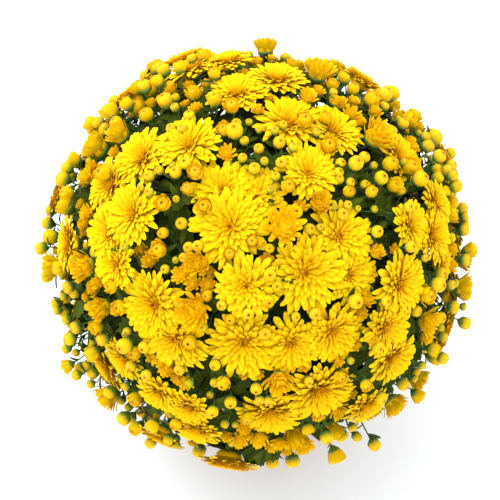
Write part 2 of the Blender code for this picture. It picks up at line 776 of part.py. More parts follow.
def main():
    clear_scene()
    plant = collection("pot_chrysanthemum")
    cutters = collection("cutters_and_guides")
    section = polygon_guide("stem_section", 3, cutters)
    heads = grow_heads()
    buds = grow_buds(heads)
    build_pot(material("terracotta_plastic", TERRACOTTA, 0.6), plant, cutters)
    build_soil(material("potting_soil", PEAT, 0.95), plant, cutters)
    green = material("leaf_green", GREEN, 0.55)
    for stem in range(STEMS):
        build_leafy_stem(stem, heads + buds, section, green, plant)
    build_blooms(heads, material("petal_yellow", YELLOW, 0.6), plant)


main()
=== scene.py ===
# %% [markdown]
# # A pot chrysanthemum in full bloom
# A cushion chrysanthemum is pinched back all summer, so it grows into a ball: a few woody stems fork
# again and again, and every tip ends in a flower, a half-open head or a bud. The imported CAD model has
# the plain solids of all of these. This lesson gives each one its real petals, veins and colours.

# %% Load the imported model
import math
import random

import bpy
import numpy as np
from mathutils import Matrix, Vector


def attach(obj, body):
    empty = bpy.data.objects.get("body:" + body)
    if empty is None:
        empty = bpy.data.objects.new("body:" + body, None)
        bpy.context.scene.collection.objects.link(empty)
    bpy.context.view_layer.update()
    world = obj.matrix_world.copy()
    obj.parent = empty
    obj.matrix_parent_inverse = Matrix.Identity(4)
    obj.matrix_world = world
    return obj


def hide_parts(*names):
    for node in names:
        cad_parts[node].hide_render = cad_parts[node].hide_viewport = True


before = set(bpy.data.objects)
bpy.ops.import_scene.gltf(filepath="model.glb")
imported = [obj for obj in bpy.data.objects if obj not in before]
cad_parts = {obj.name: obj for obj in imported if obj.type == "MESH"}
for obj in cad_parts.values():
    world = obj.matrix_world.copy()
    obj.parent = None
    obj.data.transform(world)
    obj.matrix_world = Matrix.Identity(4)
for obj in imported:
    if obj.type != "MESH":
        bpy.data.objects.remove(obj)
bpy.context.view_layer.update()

MM = 0.001

# %% [markdown]
# ## Camera
# The photograph looks down on the plant from about 48 degrees, close enough to show some perspective.
# The camera is placed from the ball of flowers itself: how far away it stands, in ball radii, and how
# many pixels of the square picture the ball's radius takes up. The small shift frames it as it was shot.

# %% Camera at the photograph's angle
BALL_CENTRE = Vector((0, 0, 236 * MM))
BALL_RADIUS = 190 * MM
CAMERA_ELEVATION = math.radians(48)
CAMERA_DISTANCE = 5 * BALL_RADIUS
PHOTO_SIDE = 500
PHOTO_CENTRE = (259, 254)
PHOTO_BALL_RADIUS = 220
FOCAL_PIXELS = PHOTO_BALL_RADIUS / math.tan(math.asin(BALL_RADIUS / CAMERA_DISTANCE))
TOWARDS_CAMERA = Vector((0, -math.cos(CAMERA_ELEVATION), math.sin(CAMERA_ELEVATION)))

camera = bpy.data.objects.new("camera", bpy.data.cameras.new("camera"))
bpy.context.scene.collection.objects.link(camera)
camera.location = BALL_CENTRE + TOWARDS_CAMERA * CAMERA_DISTANCE
camera.rotation_euler = (math.pi / 2 - CAMERA_ELEVATION, 0, 0)
camera.data.lens = FOCAL_PIXELS / PHOTO_SIDE * camera.data.sensor_width
camera.data.shift_x = (PHOTO_SIDE / 2 - PHOTO_CENTRE[0]) / PHOTO_SIDE
camera.data.shift_y = (PHOTO_CENTRE[1] - PHOTO_SIDE / 2) / PHOTO_SIDE
bpy.context.scene.camera = camera
print("lens in mm:", round(camera.data.lens, 1))

# %% [markdown]
# ## Where the flower heads stand
# A real plant spaces its heads by crowding: each pushes its neighbours aside, and where there is no
# room left, one slips over the other's petals. The CAD source grows its heads by that rule, and the
# same rule, with the same seed, is repeated here, so that every petal finds its own solid. The heads
# seen in the photograph start at their pixels, and the far side starts on an even golden spiral.

# %% Pixels and sizes of the heads in the photograph
SEED = 7
SEAT_RADIUS = 165 * MM
SPREAD_RADIUS = 177 * MM
LOWEST_HEAD = math.radians(125)
HIDDEN_RIM = 1.05
PHOTO_HEADS = (  # x, y in pixels and diameter in mm
    (226, 233, 55), (299, 269, 55), (240, 349, 53), (153, 297, 52), (339, 338, 46),
    (296, 352, 44), (228, 190, 46), (255, 200, 42), (131, 213, 45), (99, 200, 44),
    (112, 236, 41), (140, 149, 47), (203, 145, 48), (233, 91, 44), (190, 72, 38),
    (290, 112, 50), (283, 76, 44), (231, 63, 36), (348, 124, 45), (376, 134, 34),
    (309, 172, 43), (405, 148, 46), (279, 222, 34), (347, 232, 48), (434, 202, 36),
    (409, 226, 37), (430, 236, 41), (360, 277, 41), (399, 284, 46), (68, 244, 42),
    (122, 270, 38), (90, 275, 32), (93, 299, 29), (172, 343, 49), (113, 367, 38),
    (107, 397, 32), (160, 392, 35), (188, 402, 35), (199, 430, 37), (240, 275, 43),
    (207, 281, 26), (385, 324, 42), (394, 362, 42), (325, 398, 54), (365, 404, 36),
    (269, 424, 50), (297, 449, 34), (280, 382, 27), (452, 262, 35), (463, 286, 28),
    (395, 406, 29), (266, 48, 29), (318, 74, 31), (92, 146, 33), (118, 132, 28),
    (190, 285, 34), (309, 203, 24), (430, 322, 27),
)


def photo_direction(x, y, radius=SPREAD_RADIUS):
    """Direction from the ball's centre to the point of a sphere of that radius seen at a pixel."""
    ray = Vector((x - PHOTO_CENTRE[0], PHOTO_CENTRE[1] - y, -FOCAL_PIXELS)).normalized()
    eye = Vector((0, 0, CAMERA_DISTANCE))
    middle = -eye.dot(ray)
    reach = middle * middle - CAMERA_DISTANCE**2 + radius**2
    point = eye + ray * (middle - math.sqrt(max(reach, 0)))
    turned_up = Matrix.Rotation(math.pi / 2 - CAMERA_ELEVATION, 3, "X")
    return (turned_up @ point).normalized()


print("heads seen in the photograph:", len(PHOTO_HEADS))

# %% An even spread over the whole ball
GOLDEN_ANGLE = math.pi * (3 - math.sqrt(5))
SPIRAL_HEADS = 142
SEEN_CAP = math.radians(70)
OPEN_SHARE = 0.58
OPEN_DIAMETERS = (40 * MM, 54 * MM)
YOUNG_DIAMETERS = (26 * MM, 35 * MM)


def golden_spiral(count):
    """Unit vectors with z evenly stepped from top to bottom, each turned on by the golden angle."""
    for i in range(count):
        z = 1 - (2 * i + 1) / count
        across = math.sqrt(1 - z * z)
        yield Vector((across * math.cos(i * GOLDEN_ANGLE), across * math.sin(i * GOLDEN_ANGLE), z))


def plan_heads(draw):
    """Directions and radii of all heads, those of the photograph first, and how many those are."""
    directions = [photo_direction(x, y) for x, y, _ in PHOTO_HEADS]
    radii = [diameter * HIDDEN_RIM * MM / 2 for _, _, diameter in PHOTO_HEADS]
    for direction in golden_spiral(SPIRAL_HEADS):
        limits = OPEN_DIAMETERS if draw.random() < OPEN_SHARE else YOUNG_DIAMETERS
        diameter = draw.uniform(*limits)
        if direction.angle(TOWARDS_CAMERA) > SEEN_CAP and direction.z > math.cos(LOWEST_HEAD):
            directions.append(direction)
            radii.append(diameter / 2)
    return np.array(directions), np.array(radii), len(PHOTO_HEADS)


# %% How much room each two heads want
SMALLEST_OPEN = 36 * MM
HEAD_GAP = 2.4 * MM
LEVEL_BAND = 2 * MM
MOST_SLIP = 8 * MM
YOUNG_SLIP = 2 * MM
LINK_OVERLAP = 8 * MM
LINK_REACH = 0.45


def free_spacing(radii, depths):
    """How far apart each two heads must be: less where one slips over the other's petals."""
    is_open = 2 * radii >= SMALLEST_OPEN
    above = depths[:, None] - depths[None, :]
    slip = np.clip(np.abs(above) - LEVEL_BAND, 0, MOST_SLIP)
    both_open = is_open[:, None] & is_open[None, :]
    young_above = ~is_open[:, None] & is_open[None, :] & (above >= 0)
    young_above = young_above | young_above.T
    slip = np.where(both_open, slip, np.where(young_above, slip + YOUNG_SLIP, 0))
    return radii[:, None] + radii[None, :] + HEAD_GAP - slip


def link_spacing(a, b, radii, first):
    """Widest spacing at which a petal of head b surely runs into head a."""
    if first:
        return 2 * min(radii[a], radii[b]) - LINK_OVERLAP
    return radii[b] + LINK_REACH * radii[a]


# %% Heads that grew through each other, and the depth each one stands at
BLOOM_SOLIDS = 50
MOST_IN_CLUSTER = 3
DEPTHS = (-7 * MM, -3.5 * MM, 0, 3.5 * MM, 7 * MM)
SETTLING = 3


def cluster_heads(directions, radii):
    """Open heads that overlap most grow together, at most three in a cluster: clusters and links. A
    link names its two heads and how far apart they may be."""
    is_open = [i for i in range(len(radii)) if 2 * radii[i] >= SMALLEST_OPEN]
    found = []
    for n, a in enumerate(is_open):
        for b in is_open[n + 1 :]:
            spacing = np.linalg.norm(directions[a] - directions[b]) * SPREAD_RADIUS
            found.append((spacing - 2 * min(radii[a], radii[b]), a, b))
    clusters = [[i] for i in is_open]
    links = []
    for _, a, b in sorted(found):
        of_a = next(c for c in clusters if a in c)
        of_b = next(c for c in clusters if b in c)
        if of_a is of_b or len(of_a) + len(of_b) > MOST_IN_CLUSTER or len(clusters) <= BLOOM_SOLIDS:
            continue
        hub, leaf = (a, b) if len(of_a) > 1 else (b, a)
        first = not any(hub in link[:2] for link in links)
        links.append((hub, leaf, link_spacing(hub, leaf, radii, first)))
        of_a += of_b
        clusters = [c for c in clusters if c is not of_b]
    return clusters, links


def choose_depths(directions, radii, clusters, draw):
    """Each head, or cluster as one, steps in or out to where its neighbours crowd it least."""
    alone = [[i] for i in range(len(radii)) if not any(i in c for c in clusters)]
    groups = clusters + alone
    depths = np.zeros(len(radii))
    spacing = np.linalg.norm(directions[:, None] - directions[None, :], axis=2) * SPREAD_RADIUS
    for members in groups:
        depths[members] = draw.choice(DEPTHS)
    for _ in range(SETTLING):
        for members in groups:
            others = [i for i in range(len(radii)) if i not in members]
            best = []
            for depth in DEPTHS:
                depths[members] = depth
                lack = free_spacing(radii, depths)[np.ix_(members, others)] - spacing[np.ix_(members, others)]
                best.append((float((np.clip(lack, 0, None) ** 2).sum()), draw.random(), depth))
            depths[members] = min(best)[2]
    return depths


# %% Crowded heads move apart
CLUSTER_CLOSENESS = 0.58
PHOTO_EASE = 0.35
FIRMNESS = 1.3
HOMING = 0.1
STEP_SHARE = 0.7
ROUNDS = 40
LAST_ROUNDS = 300


def jostle(directions, radii, depths, held, clusters, links, rounds, homing):
    """Each round moves two heads that are too close apart by part of what they lack. Small heads give
    way more than large ones, and those of the photograph, which are held, less than the others."""
    home = directions[:held].copy()
    wanted = free_spacing(radii, depths)
    for members in clusters:
        for a in members:
            for b in members:
                wanted[a, b] = CLUSTER_CLOSENESS * (radii[a] + radii[b])
    ease = FIRMNESS - radii / radii.max()
    ease[:held] *= PHOTO_EASE
    for _ in range(rounds):
        apart = directions[:, None] - directions[None, :]
        distance = np.linalg.norm(apart, axis=2) * SPREAD_RADIUS
        np.fill_diagonal(distance, 1)
        push = np.clip(wanted - distance, 0, None)
        for a, b, widest in links:
            pull = min(widest - distance[a, b], 0)
            push[a, b] += pull
            push[b, a] += pull
        np.fill_diagonal(push, 0)
        share = ease[:, None] / (ease[:, None] + ease[None, :])
        steps = apart / distance[:, :, None] * (push * share)[:, :, None]
        directions = directions + steps.sum(axis=1) * STEP_SHARE
        directions[:held] += (home - directions[:held]) * homing
        directions /= np.linalg.norm(directions, axis=1)[:, None]
        low = directions[:, 2] < math.cos(LOWEST_HEAD)
        across = np.linalg.norm(directions[:, :2], axis=1)
        directions[low, :2] *= (math.sin(LOWEST_HEAD) / across[low])[:, None]
        directions[low, 2] = math.cos(LOWEST_HEAD)
    return directions


# %% Every head's seat and the way it faces
MOST_TILT = math.radians(4)
PETAL_AIM = math.radians(45)


def tilted(direction, tilt, turn):
    """The direction, leaning by tilt towards the side that turn picks."""
    side = direction.orthogonal().normalized()
    side.rotate(Matrix.Rotation(turn, 3, direction))
    return (direction + side * math.tan(tilt)).normalized()


def grow_heads():
    """Every flower head: kind, direction, radius, seat, axis, the way one petal points, cluster."""
    draw = random.Random(SEED)
    directions, radii, held = plan_heads(draw)
    clusters, links = cluster_heads(directions, radii)
    depths = np.zeros(len(radii))
    for _ in range(SETTLING):
        depths = choose_depths(directions, radii, clusters, draw)
        directions = jostle(directions, radii, depths, held, clusters, links, ROUNDS, HOMING)
    directions = jostle(directions, radii, depths, held, clusters, links, LAST_ROUNDS, 0)
    aims = {}
    for hub, leaf, _ in links:
        aims.setdefault(hub, leaf)
        aims[leaf] = hub
    heads = []
    for i, radius in enumerate(radii):
        direction = Vector(directions[i])
        tilt, turn = draw.uniform(0, MOST_TILT), draw.uniform(0, 2 * math.pi)
        axis = direction if i in aims else tilted(direction, tilt, turn)
        toward = Vector(directions[aims[i]]) if i in aims else tilted(direction, PETAL_AIM, turn)
        toward = (toward - axis * toward.dot(axis)).normalized()
        cluster = next((n for n, members in enumerate(clusters) if i in members), None)
        heads.append({"kind": "young" if cluster is None else "open", "direction": direction,
                      "radius": float(radius), "seat": BALL_CENTRE + direction * (SEAT_RADIUS + depths[i]),
                      "axis": axis, "toward": toward, "cluster": cluster})
    return heads


heads = grow_heads()
print("flower heads:", len(heads), "of them open:", sum(head["kind"] == "open" for head in heads))

# %% [markdown]
# ## The buds of the CAD model
# Between the heads stand round buds, a little proud of the petals. The CAD model has the largest few
# dozen. They fill gaps: places are tried in a shuffled order, and one is kept where nothing is near.

# %% Buds that the CAD model has
BUD_PLACES = 620
BUD_COUNT = 36
BUD_RADII = (4.8 * MM, 6.8 * MM)
BUD_PROUD = (4 * MM, 16 * MM)
BUD_GAP = 2 * MM
BUD_FOOTROOM = math.radians(4)


def grow_buds(heads):
    """Round buds in the gaps between flower heads, standing a little proud of them."""
    draw = random.Random(SEED + 1)
    places = [d for d in golden_spiral(BUD_PLACES) if d.z > math.cos(LOWEST_HEAD + BUD_FOOTROOM)]
    draw.shuffle(places)
    buds = []
    for direction in places:
        radius = draw.uniform(*BUD_RADII)
        proud = draw.uniform(*BUD_PROUD)
        others = heads + buds
        gaps = [(direction - o["direction"]).length * SPREAD_RADIUS - o["radius"] - radius for o in others]
        if min(gaps) > BUD_GAP and len(buds) < BUD_COUNT:
            buds.append({"kind": "bud", "direction": direction, "radius": radius,
                         "seat": BALL_CENTRE + direction * (SEAT_RADIUS + proud),
                         "axis": direction, "toward": direction.orthogonal().normalized()})
    return buds


buds = grow_buds(heads)
print("buds of the CAD model:", len(buds))

# %% [markdown]
# ## Which solid is which flower
# The open heads are numbered cluster by cluster, as the CAD nodes are. A seat is the lowest point of
# its flower's solid, so the distance from each seat to the nearest corner of its node's mesh says
# whether the rule above really gave the same flowers.

# %% Match the heads to the CAD nodes
def mesh_points(node):
    """The corners of a CAD node's mesh as an array of points."""
    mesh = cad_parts[node].data
    points = np.empty(len(mesh.vertices) * 3, np.float32)
    mesh.vertices.foreach_get("co", points)
    return points.reshape(-1, 3)


def nearest(points, place):
    """Distance from a place to the nearest of the points."""
    return float(np.linalg.norm(points - np.array(place), axis=1).min())


groups = {}
for head in heads:
    if head["kind"] == "open":
        groups.setdefault(head["cluster"], []).append(head)
blooms = {}
for number, members in enumerate(groups.values(), 1):
    blooms[f"bloom_{number:02d}" if len(members) == 1 else f"blooms_{number:02d}"] = members
misses = [nearest(mesh_points(node), head["seat"]) for node in blooms for head in blooms[node][:1]]
print("bloom nodes:", len(blooms), "furthest seat from its node in mm:", round(max(misses) / MM, 3))

# %% [markdown]
# ## One way to make every part: a skin round a line
# Petals, leaves, stalks, calyxes and buds are all closed skins round a line. Each station of the line
# has a ring of points. A flat ring gives a blade and a round one a stem, and where a ring shrinks to a
# point the skin closes. Thousands of petals are computed at once, as one array.

# %% Skins round lines
TINY = 1e-12
EDGE_SINE = 0.01


def unit(vectors):
    """Vectors of length one along the last axis."""
    return vectors / np.maximum(np.linalg.norm(vectors, axis=-1, keepdims=True), TINY)


def skin(line, side, face, wide, thick, bend=None, around=8, swell=None, edged=False):
    """Closed skins round many lines: arrays of lines by stations, the end stations being points.

    Point k of a ring is line + side * wide * cos(a) + face * thick * sin(a) + bend * cos(a)^2,
    with a = 2 pi k / around, and swell scales each point's two first offsets. A blade is edged: its
    two sides meet in a crease, where a stem's are rounded into each other.
    """
    angle = 2 * np.pi * np.arange(around) / around
    out = (side[:, 1:-1, None] * (wide[:, 1:-1, None] * np.cos(angle))[..., None]
           + face[:, 1:-1, None] * (thick[:, 1:-1, None] * np.sin(angle))[..., None])
    if swell is not None:
        out = out * swell[:, 1:-1, :, None]
    rings = line[:, 1:-1, None] + out
    if bend is not None:
        rings = rings + bend[:, 1:-1, None] * (np.cos(angle) ** 2)[:, None]
    count, stations = line.shape[0], line.shape[1] - 2
    points = np.concatenate((rings.reshape(count, -1, 3), line[:, :1], line[:, -1:]), axis=1)
    k = np.arange(around)
    after = (k + 1) % around
    low = (np.arange(stations - 1) * around)[:, None]
    quads = np.stack((low + k, low + after, low + around + after, low + around + k), axis=-1).reshape(-1, 4)
    foot, top, last = stations * around, stations * around + 1, (stations - 1) * around
    tris = np.concatenate((np.stack((np.full(around, foot), after, k), axis=-1),
                           np.stack((np.full(around, top), last + k, last + after), axis=-1)))
    each = points.shape[1]
    shift = (np.arange(count) * each)[:, None, None]
    along = np.arange(1, stations + 1) / (stations + 1)
    return {
        "points": points.reshape(-1, 3),
        "quads": (quads + shift).reshape(-1, 4),
        "tris": (tris + shift).reshape(-1, 3),
        "along": np.tile(np.concatenate((np.repeat(along, around), (0, 1))), count),
        "across": np.tile(np.concatenate((np.tile((1 + np.cos(angle)) / 2, stations), (0.5, 0.5))), count),
        "turn": np.tile(np.concatenate((np.tile(np.sin(angle), stations), (0, 0))), count),
        "crease": np.tile(np.concatenate((np.tile(edged & (np.abs(np.sin(angle)) < EDGE_SINE), stations),
                                          (edged, edged))), count),
        "each": each,
    }


def labelled(part, **values):
    """Gives every point of each skin of the part a value of its own, such as its tint."""
    count = len(part["points"]) // part["each"]
    for name, value in values.items():
        part[name] = np.repeat(np.broadcast_to(np.asarray(value, float), count), part["each"])
    return part


# %% From arrays to a piece of the scene
LABELS = ("tint", "heart", "turn", "young")
triangles = {}


def make_piece(name, parts, look, slot, *nodes):
    """One mesh from all the parts, with its surface map and labels, riding on the plant."""
    starts = np.cumsum([0] + [len(part["points"]) for part in parts])
    points = np.concatenate([part["points"] for part in parts])
    quads = np.concatenate([part["quads"] + start for part, start in zip(parts, starts)])
    tris = np.concatenate([part["tris"] + start for part, start in zip(parts, starts)])
    corners = np.concatenate((quads.ravel(), tris.ravel())).astype(np.int32)
    first = np.concatenate((np.arange(len(quads)) * 4, len(quads) * 4 + np.arange(len(tris)) * 3))
    mesh = bpy.data.meshes.new(name)
    mesh.vertices.add(len(points))
    mesh.vertices.foreach_set("co", points.astype(np.float32).ravel())
    mesh.loops.add(len(corners))
    mesh.loops.foreach_set("vertex_index", corners)
    mesh.polygons.add(len(first))
    mesh.polygons.foreach_set("loop_start", first.astype(np.int32))
    mesh.update(calc_edges=True)
    place = np.stack([np.concatenate([part[key] for part in parts]) for key in ("along", "across")], axis=1)
    surface = mesh.uv_layers.new(name="surface")
    surface.data.foreach_set("uv", place[corners].astype(np.float32).ravel())
    for label in LABELS:
        values = np.concatenate([part.get(label, np.zeros(len(part["points"]))) for part in parts])
        mesh.attributes.new(label, "FLOAT", "POINT").data.foreach_set("value", values.astype(np.float32))
    mesh.shade_smooth()
    crease = np.concatenate([part["crease"] for part in parts])
    ends = np.empty(len(mesh.edges) * 2, np.int32)
    mesh.edges.foreach_get("vertices", ends)
    sharp = crease[ends.reshape(-1, 2)].all(axis=1)
    mesh.attributes.new("sharp_edge", "BOOLEAN", "EDGE").data.foreach_set("value", sharp)
    mesh.materials.append(look)
    piece = bpy.data.objects.new(name, mesh)
    bpy.context.scene.collection.objects.link(piece)
    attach(piece, "root")
    if nodes:
        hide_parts(*nodes)
    triangles[name] = 2 * len(quads) + len(tris)
    return piece


def print_triangles(kind):
    """Prints how many triangles the pieces of one kind have."""
    print("triangles in", kind + ":", sum(n for name, n in triangles.items() if name.startswith(kind)))


# %% [markdown]
# ## Node materials in a few words
# Every finish is a small graph of nodes. Two helpers keep the graphs short to read: one adds a node
# and wires what it is given, the other turns a list of colours into a ramp.

# %% Helpers for materials
def add_node(tree, kind, inputs=None, **settings):
    """A node with its settings, each input either wired to a socket or set to a value."""
    made = tree.nodes.new(kind)
    for name, value in settings.items():
        setattr(made, name, value)
    for name, value in (inputs or {}).items():
        if isinstance(value, bpy.types.NodeSocket):
            tree.links.new(value, made.inputs[name])
        else:
            made.inputs[name].default_value = value
    return made


def math_node(tree, operation, *values):
    """The result of one sum on sockets or numbers."""
    made = add_node(tree, "ShaderNodeMath", dict(enumerate(values)), operation=operation)
    return made.outputs[0]


def ramp(tree, factor, *stops):
    """A colour ramp through (position, colour) stops."""
    made = add_node(tree, "ShaderNodeValToRGB", {"Fac": factor})
    marks = made.color_ramp.elements
    while len(marks) < len(stops):
        marks.new(0.5)
    for mark, (position, colour) in zip(marks, stops):
        mark.position = position
        mark.color = (*colour, 1)
    return made.outputs["Color"]


def blended(tree, factor, one, other, blend_type="MIX"):
    """Mixes two colours by a factor. A Mix node has its colours at inputs 6 and 7 and output 2."""
    made = add_node(tree, "ShaderNodeMix", data_type="RGBA", blend_type=blend_type)
    for index, value in ((0, factor), (6, one), (7, other)):
        if isinstance(value, bpy.types.NodeSocket):
            tree.links.new(value, made.inputs[index])
        else:
            made.inputs[index].default_value = value
    return made.outputs[2]


def new_look(name, roughness, specular=0.5):
    """An empty material with a plain shader, to which the finish is then wired."""
    look = bpy.data.materials.new(name)
    look.use_nodes = True
    shader = look.node_tree.nodes["Principled BSDF"]
    shader.inputs["Roughness"].default_value = roughness
    shader.inputs["Specular IOR Level"].default_value = specular
    return look, look.node_tree, shader


def surface_map(tree):
    """How far along a blade or stalk a point is, and how far across, both from 0 to 1."""
    made = add_node(tree, "ShaderNodeUVMap", uv_map="surface")
    split = add_node(tree, "ShaderNodeSeparateXYZ", {"Vector": made.outputs["UV"]})
    return split.outputs["X"], split.outputs["Y"]


def label(tree, name):
    """The value of one of the piece's labels."""
    return add_node(tree, "ShaderNodeAttribute", attribute_name=name).outputs["Fac"]


def object_place(tree):
    """The point's place in the frame, in metres."""
    return add_node(tree, "ShaderNodeTexCoord").outputs["Object"]


def noise(tree, scale, detail, **settings):
    """Cloudy noise by the place in the frame, from 0 to 1."""
    made = add_node(tree, "ShaderNodeTexNoise", {
        "Vector": object_place(tree), "Scale": scale, "Detail": detail, **settings})
    return made.outputs["Fac"]


def relief(tree, shader, height, strength, distance):
    """Fine relief that the mesh is too coarse for."""
    made = add_node(tree, "ShaderNodeBump", {"Height": height, "Strength": strength, "Distance": distance})
    tree.links.new(made.outputs["Normal"], shader.inputs["Normal"])


# %% [markdown]
# ## Petal finish
# A ray floret is matt and soft, deep orange-yellow at its foot and lemon towards its tip, with a few
# fine ribs running its length. The colour follows the petal's own length, so the finish reads the
# surface map. Each petal has a tint of its own, partly its age, because no two age alike, and partly
# painted shade: deeper on heads low on the ball and on the petals round each heart. The small heart
# itself is painted brown, as shade deep in the middle.

# %% Yellow petals
DEEP_YELLOW = (0.80, 0.415, 0.002)
WARM_YELLOW = (0.85, 0.55, 0.003)
LEMON = (0.87, 0.60, 0.004)
AGE_AND_SHADE_YELLOW = (0.84, 0.45, 0.002, 1)
RIB_YELLOW = (0.80, 0.40, 0.001, 1)
HEART_SHADE_BROWN = (0.36, 0.13, 0.003, 1)
AGE_AND_SHADE_SHARE = 0.55
RIB_SHARE = 0.08
RIBS = 4


def petal_look():
    """Colour along the petal, a tint for each, fine ribs across it."""
    look, tree, shader = new_look("petal", 0.7, 0.04)
    along, across = surface_map(tree)
    colour = ramp(tree, along, (0.0, DEEP_YELLOW), (0.30, WARM_YELLOW), (0.65, LEMON), (1.0, LEMON))
    # A deeper yellow mixed in by the tint: each petal's age, plus painted shade on low heads and round the
    # heart.
    aged_and_shaded = math_node(tree, "MULTIPLY", label(tree, "tint"), AGE_AND_SHADE_SHARE)
    colour = blended(tree, aged_and_shaded, colour, AGE_AND_SHADE_YELLOW)
    ribs = math_node(tree, "SINE", math_node(tree, "MULTIPLY", across, 2 * math.pi * RIBS))
    faint = math_node(tree, "MULTIPLY_ADD", ribs, RIB_SHARE, RIB_SHARE)
    colour = blended(tree, faint, colour, RIB_YELLOW)
    # The heart is painted brown: shade deep in the centre of the head.
    colour = blended(tree, label(tree, "heart"), colour, HEART_SHADE_BROWN)
    tree.links.new(colour, shader.inputs["Base Color"])
    relief(tree, shader, ribs, 0.15, 0.1 * MM)
    return look


petal_finish = petal_look()
print("nodes in the petal finish:", len(petal_finish.node_tree.nodes))

# %% [markdown]
# ## Open flowers
# An open head is a rosette. Florets open one after another round the centre, each turned on by the
# golden angle, so a single running number gives every petal its turn and its age. The oldest lie
# outermost, flat and a little reflexed, and the youngest stand round the heart and curl inwards. Each
# petal's middle line is a cubic curve in its own upright plane, from a root on the flower's base.

# %% Petals as blades round curved lines
LONG_PETAL = (  # shares of the length, and of the width there
    np.array((0, 0.10, 0.28, 0.54, 0.82, 0.95, 1.0)),
    np.array((0, 0.46, 0.76, 0.98, 1.0, 0.64, 0)),
)
SHORT_PETAL = (np.array((0, 0.20, 0.60, 0.92, 1.0)), np.array((0, 0.62, 1.0, 0.72, 0)))
PETAL_THICKNESS = 0.15 * MM
PETAL_SIDES = 4
PETAL_DRIFT = 0.09
PETAL_TWIST = 0.15
LEAVING = 0.42
ARRIVING = 0.36


def head_matrix(head):
    """Rows: the way one petal points, the way across it, and the head's axis."""
    across = head["axis"].cross(head["toward"])
    return np.array((head["toward"], across, head["axis"]))


def petals(turn, roots, tips, leave, arrive, half_width, cup, form, draw):
    """Blades whose middle line runs in an upright plane from root to tip.

    The line is the cubic curve (1-s)^3 p0 + 3(1-s)^2 s p1 + 3(1-s) s^2 p2 + s^3 p3, which leaves the
    root at the angle leave above level and arrives at the tip at the angle arrive. roots and tips
    are pairs (distance from the axis, height). cup lifts the blade's edges by that share of its width.
    form is the pair of the stations' shares of the length and of the width there. Each petal drifts
    a little sideways and twists a little towards its tip.
    """
    chord = np.hypot(tips[0] - roots[0], tips[1] - roots[1])
    corners = (
        roots,
        (roots[0] + LEAVING * chord * np.cos(leave), roots[1] + LEAVING * chord * np.sin(leave)),
        (tips[0] - ARRIVING * chord * np.cos(arrive), tips[1] - ARRIVING * chord * np.sin(arrive)),
        tips,
    )
    s, outline = form
    share = ((1 - s) ** 3, 3 * (1 - s) ** 2 * s, 3 * (1 - s) * s**2, s**3)
    slope = (3 * (1 - s) ** 2, 6 * (1 - s) * s, 3 * s**2)
    away, high = (
        sum(corner[axis][:, None] * part for corner, part in zip(corners, share)) for axis in (0, 1)
    )
    steps = list(zip(corners, corners[1:], slope))
    go_away, go_high = (
        sum((after[axis] - before[axis])[:, None] * part for before, after, part in steps) for axis in (0, 1)
    )
    azimuth = turn[:, None] + draw.normal(0, PETAL_DRIFT, len(turn))[:, None] * s**2
    level = np.zeros_like(azimuth)
    outward = np.stack((np.cos(azimuth), np.sin(azimuth), level), axis=-1)
    sideways = np.stack((-np.sin(azimuth), np.cos(azimuth), level), axis=-1)
    up = np.array((0, 0, 1.0))
    line = outward * away[..., None] + up * high[..., None]
    tangent = unit(outward * go_away[..., None] + up * go_high[..., None])
    face = np.cross(tangent, sideways)
    twist = draw.normal(0, PETAL_TWIST, len(turn))[:, None, None] * s[:, None]
    side = sideways * np.cos(twist) + face * np.sin(twist)
    face = face * np.cos(twist) - sideways * np.sin(twist)
    wide = half_width[:, None] * outline
    thick = np.full_like(wide, PETAL_THICKNESS)
    bend = face * (cup[:, None] * wide)[..., None]
    return skin(line, side, face, wide, thick, bend, around=PETAL_SIDES, edged=True)


# %% One open head
PETAL_REACH = 1.13
FEWEST_PETALS = 92
PETALS_PER_MM = 2.0
SHORT_SHARE = 0.34
TURN_SCATTER = 0.09
LENGTH_SCATTER = 0.05
HEIGHT_SCATTER = 0.014
LEAN_SCATTER = 4
WIDTH_SCATTER = 0.07
CUP_SCATTER = 0.05
TINT_SCATTER = 0.14
USUAL_RADIUS = 24 * MM
AGES = (-0.12, 0.22)
EVEN_HEIGHT = 0.3
PAINTED_SHADE_BELOW = 0.36
OPEN_SEED = 1000
SEEDS_A_NODE = 10
DOME = (np.array((0.02, 0.04, 0.16, 0.26, 0.31, 0.32)), np.array((0, 0.30, 0.42, 0.34, 0.12, 0)))
HEART = (np.array((0.30, 0.31, 0.36, 0.39, 0.40)), np.array((0, 0.03, 0.04, 0.02, 0)))


def turned(radius, form):
    """A skin turned round the upright axis through rings (height, radius) in shares of the radius."""
    heights, widths = form
    line = np.zeros((1, len(heights), 3))
    line[0, :, 2] = heights * radius
    side = np.broadcast_to((1.0, 0, 0), line.shape)
    face = np.broadcast_to((0, 1.0, 0), line.shape)
    return skin(line, side, face, widths[None] * radius, widths[None] * radius)


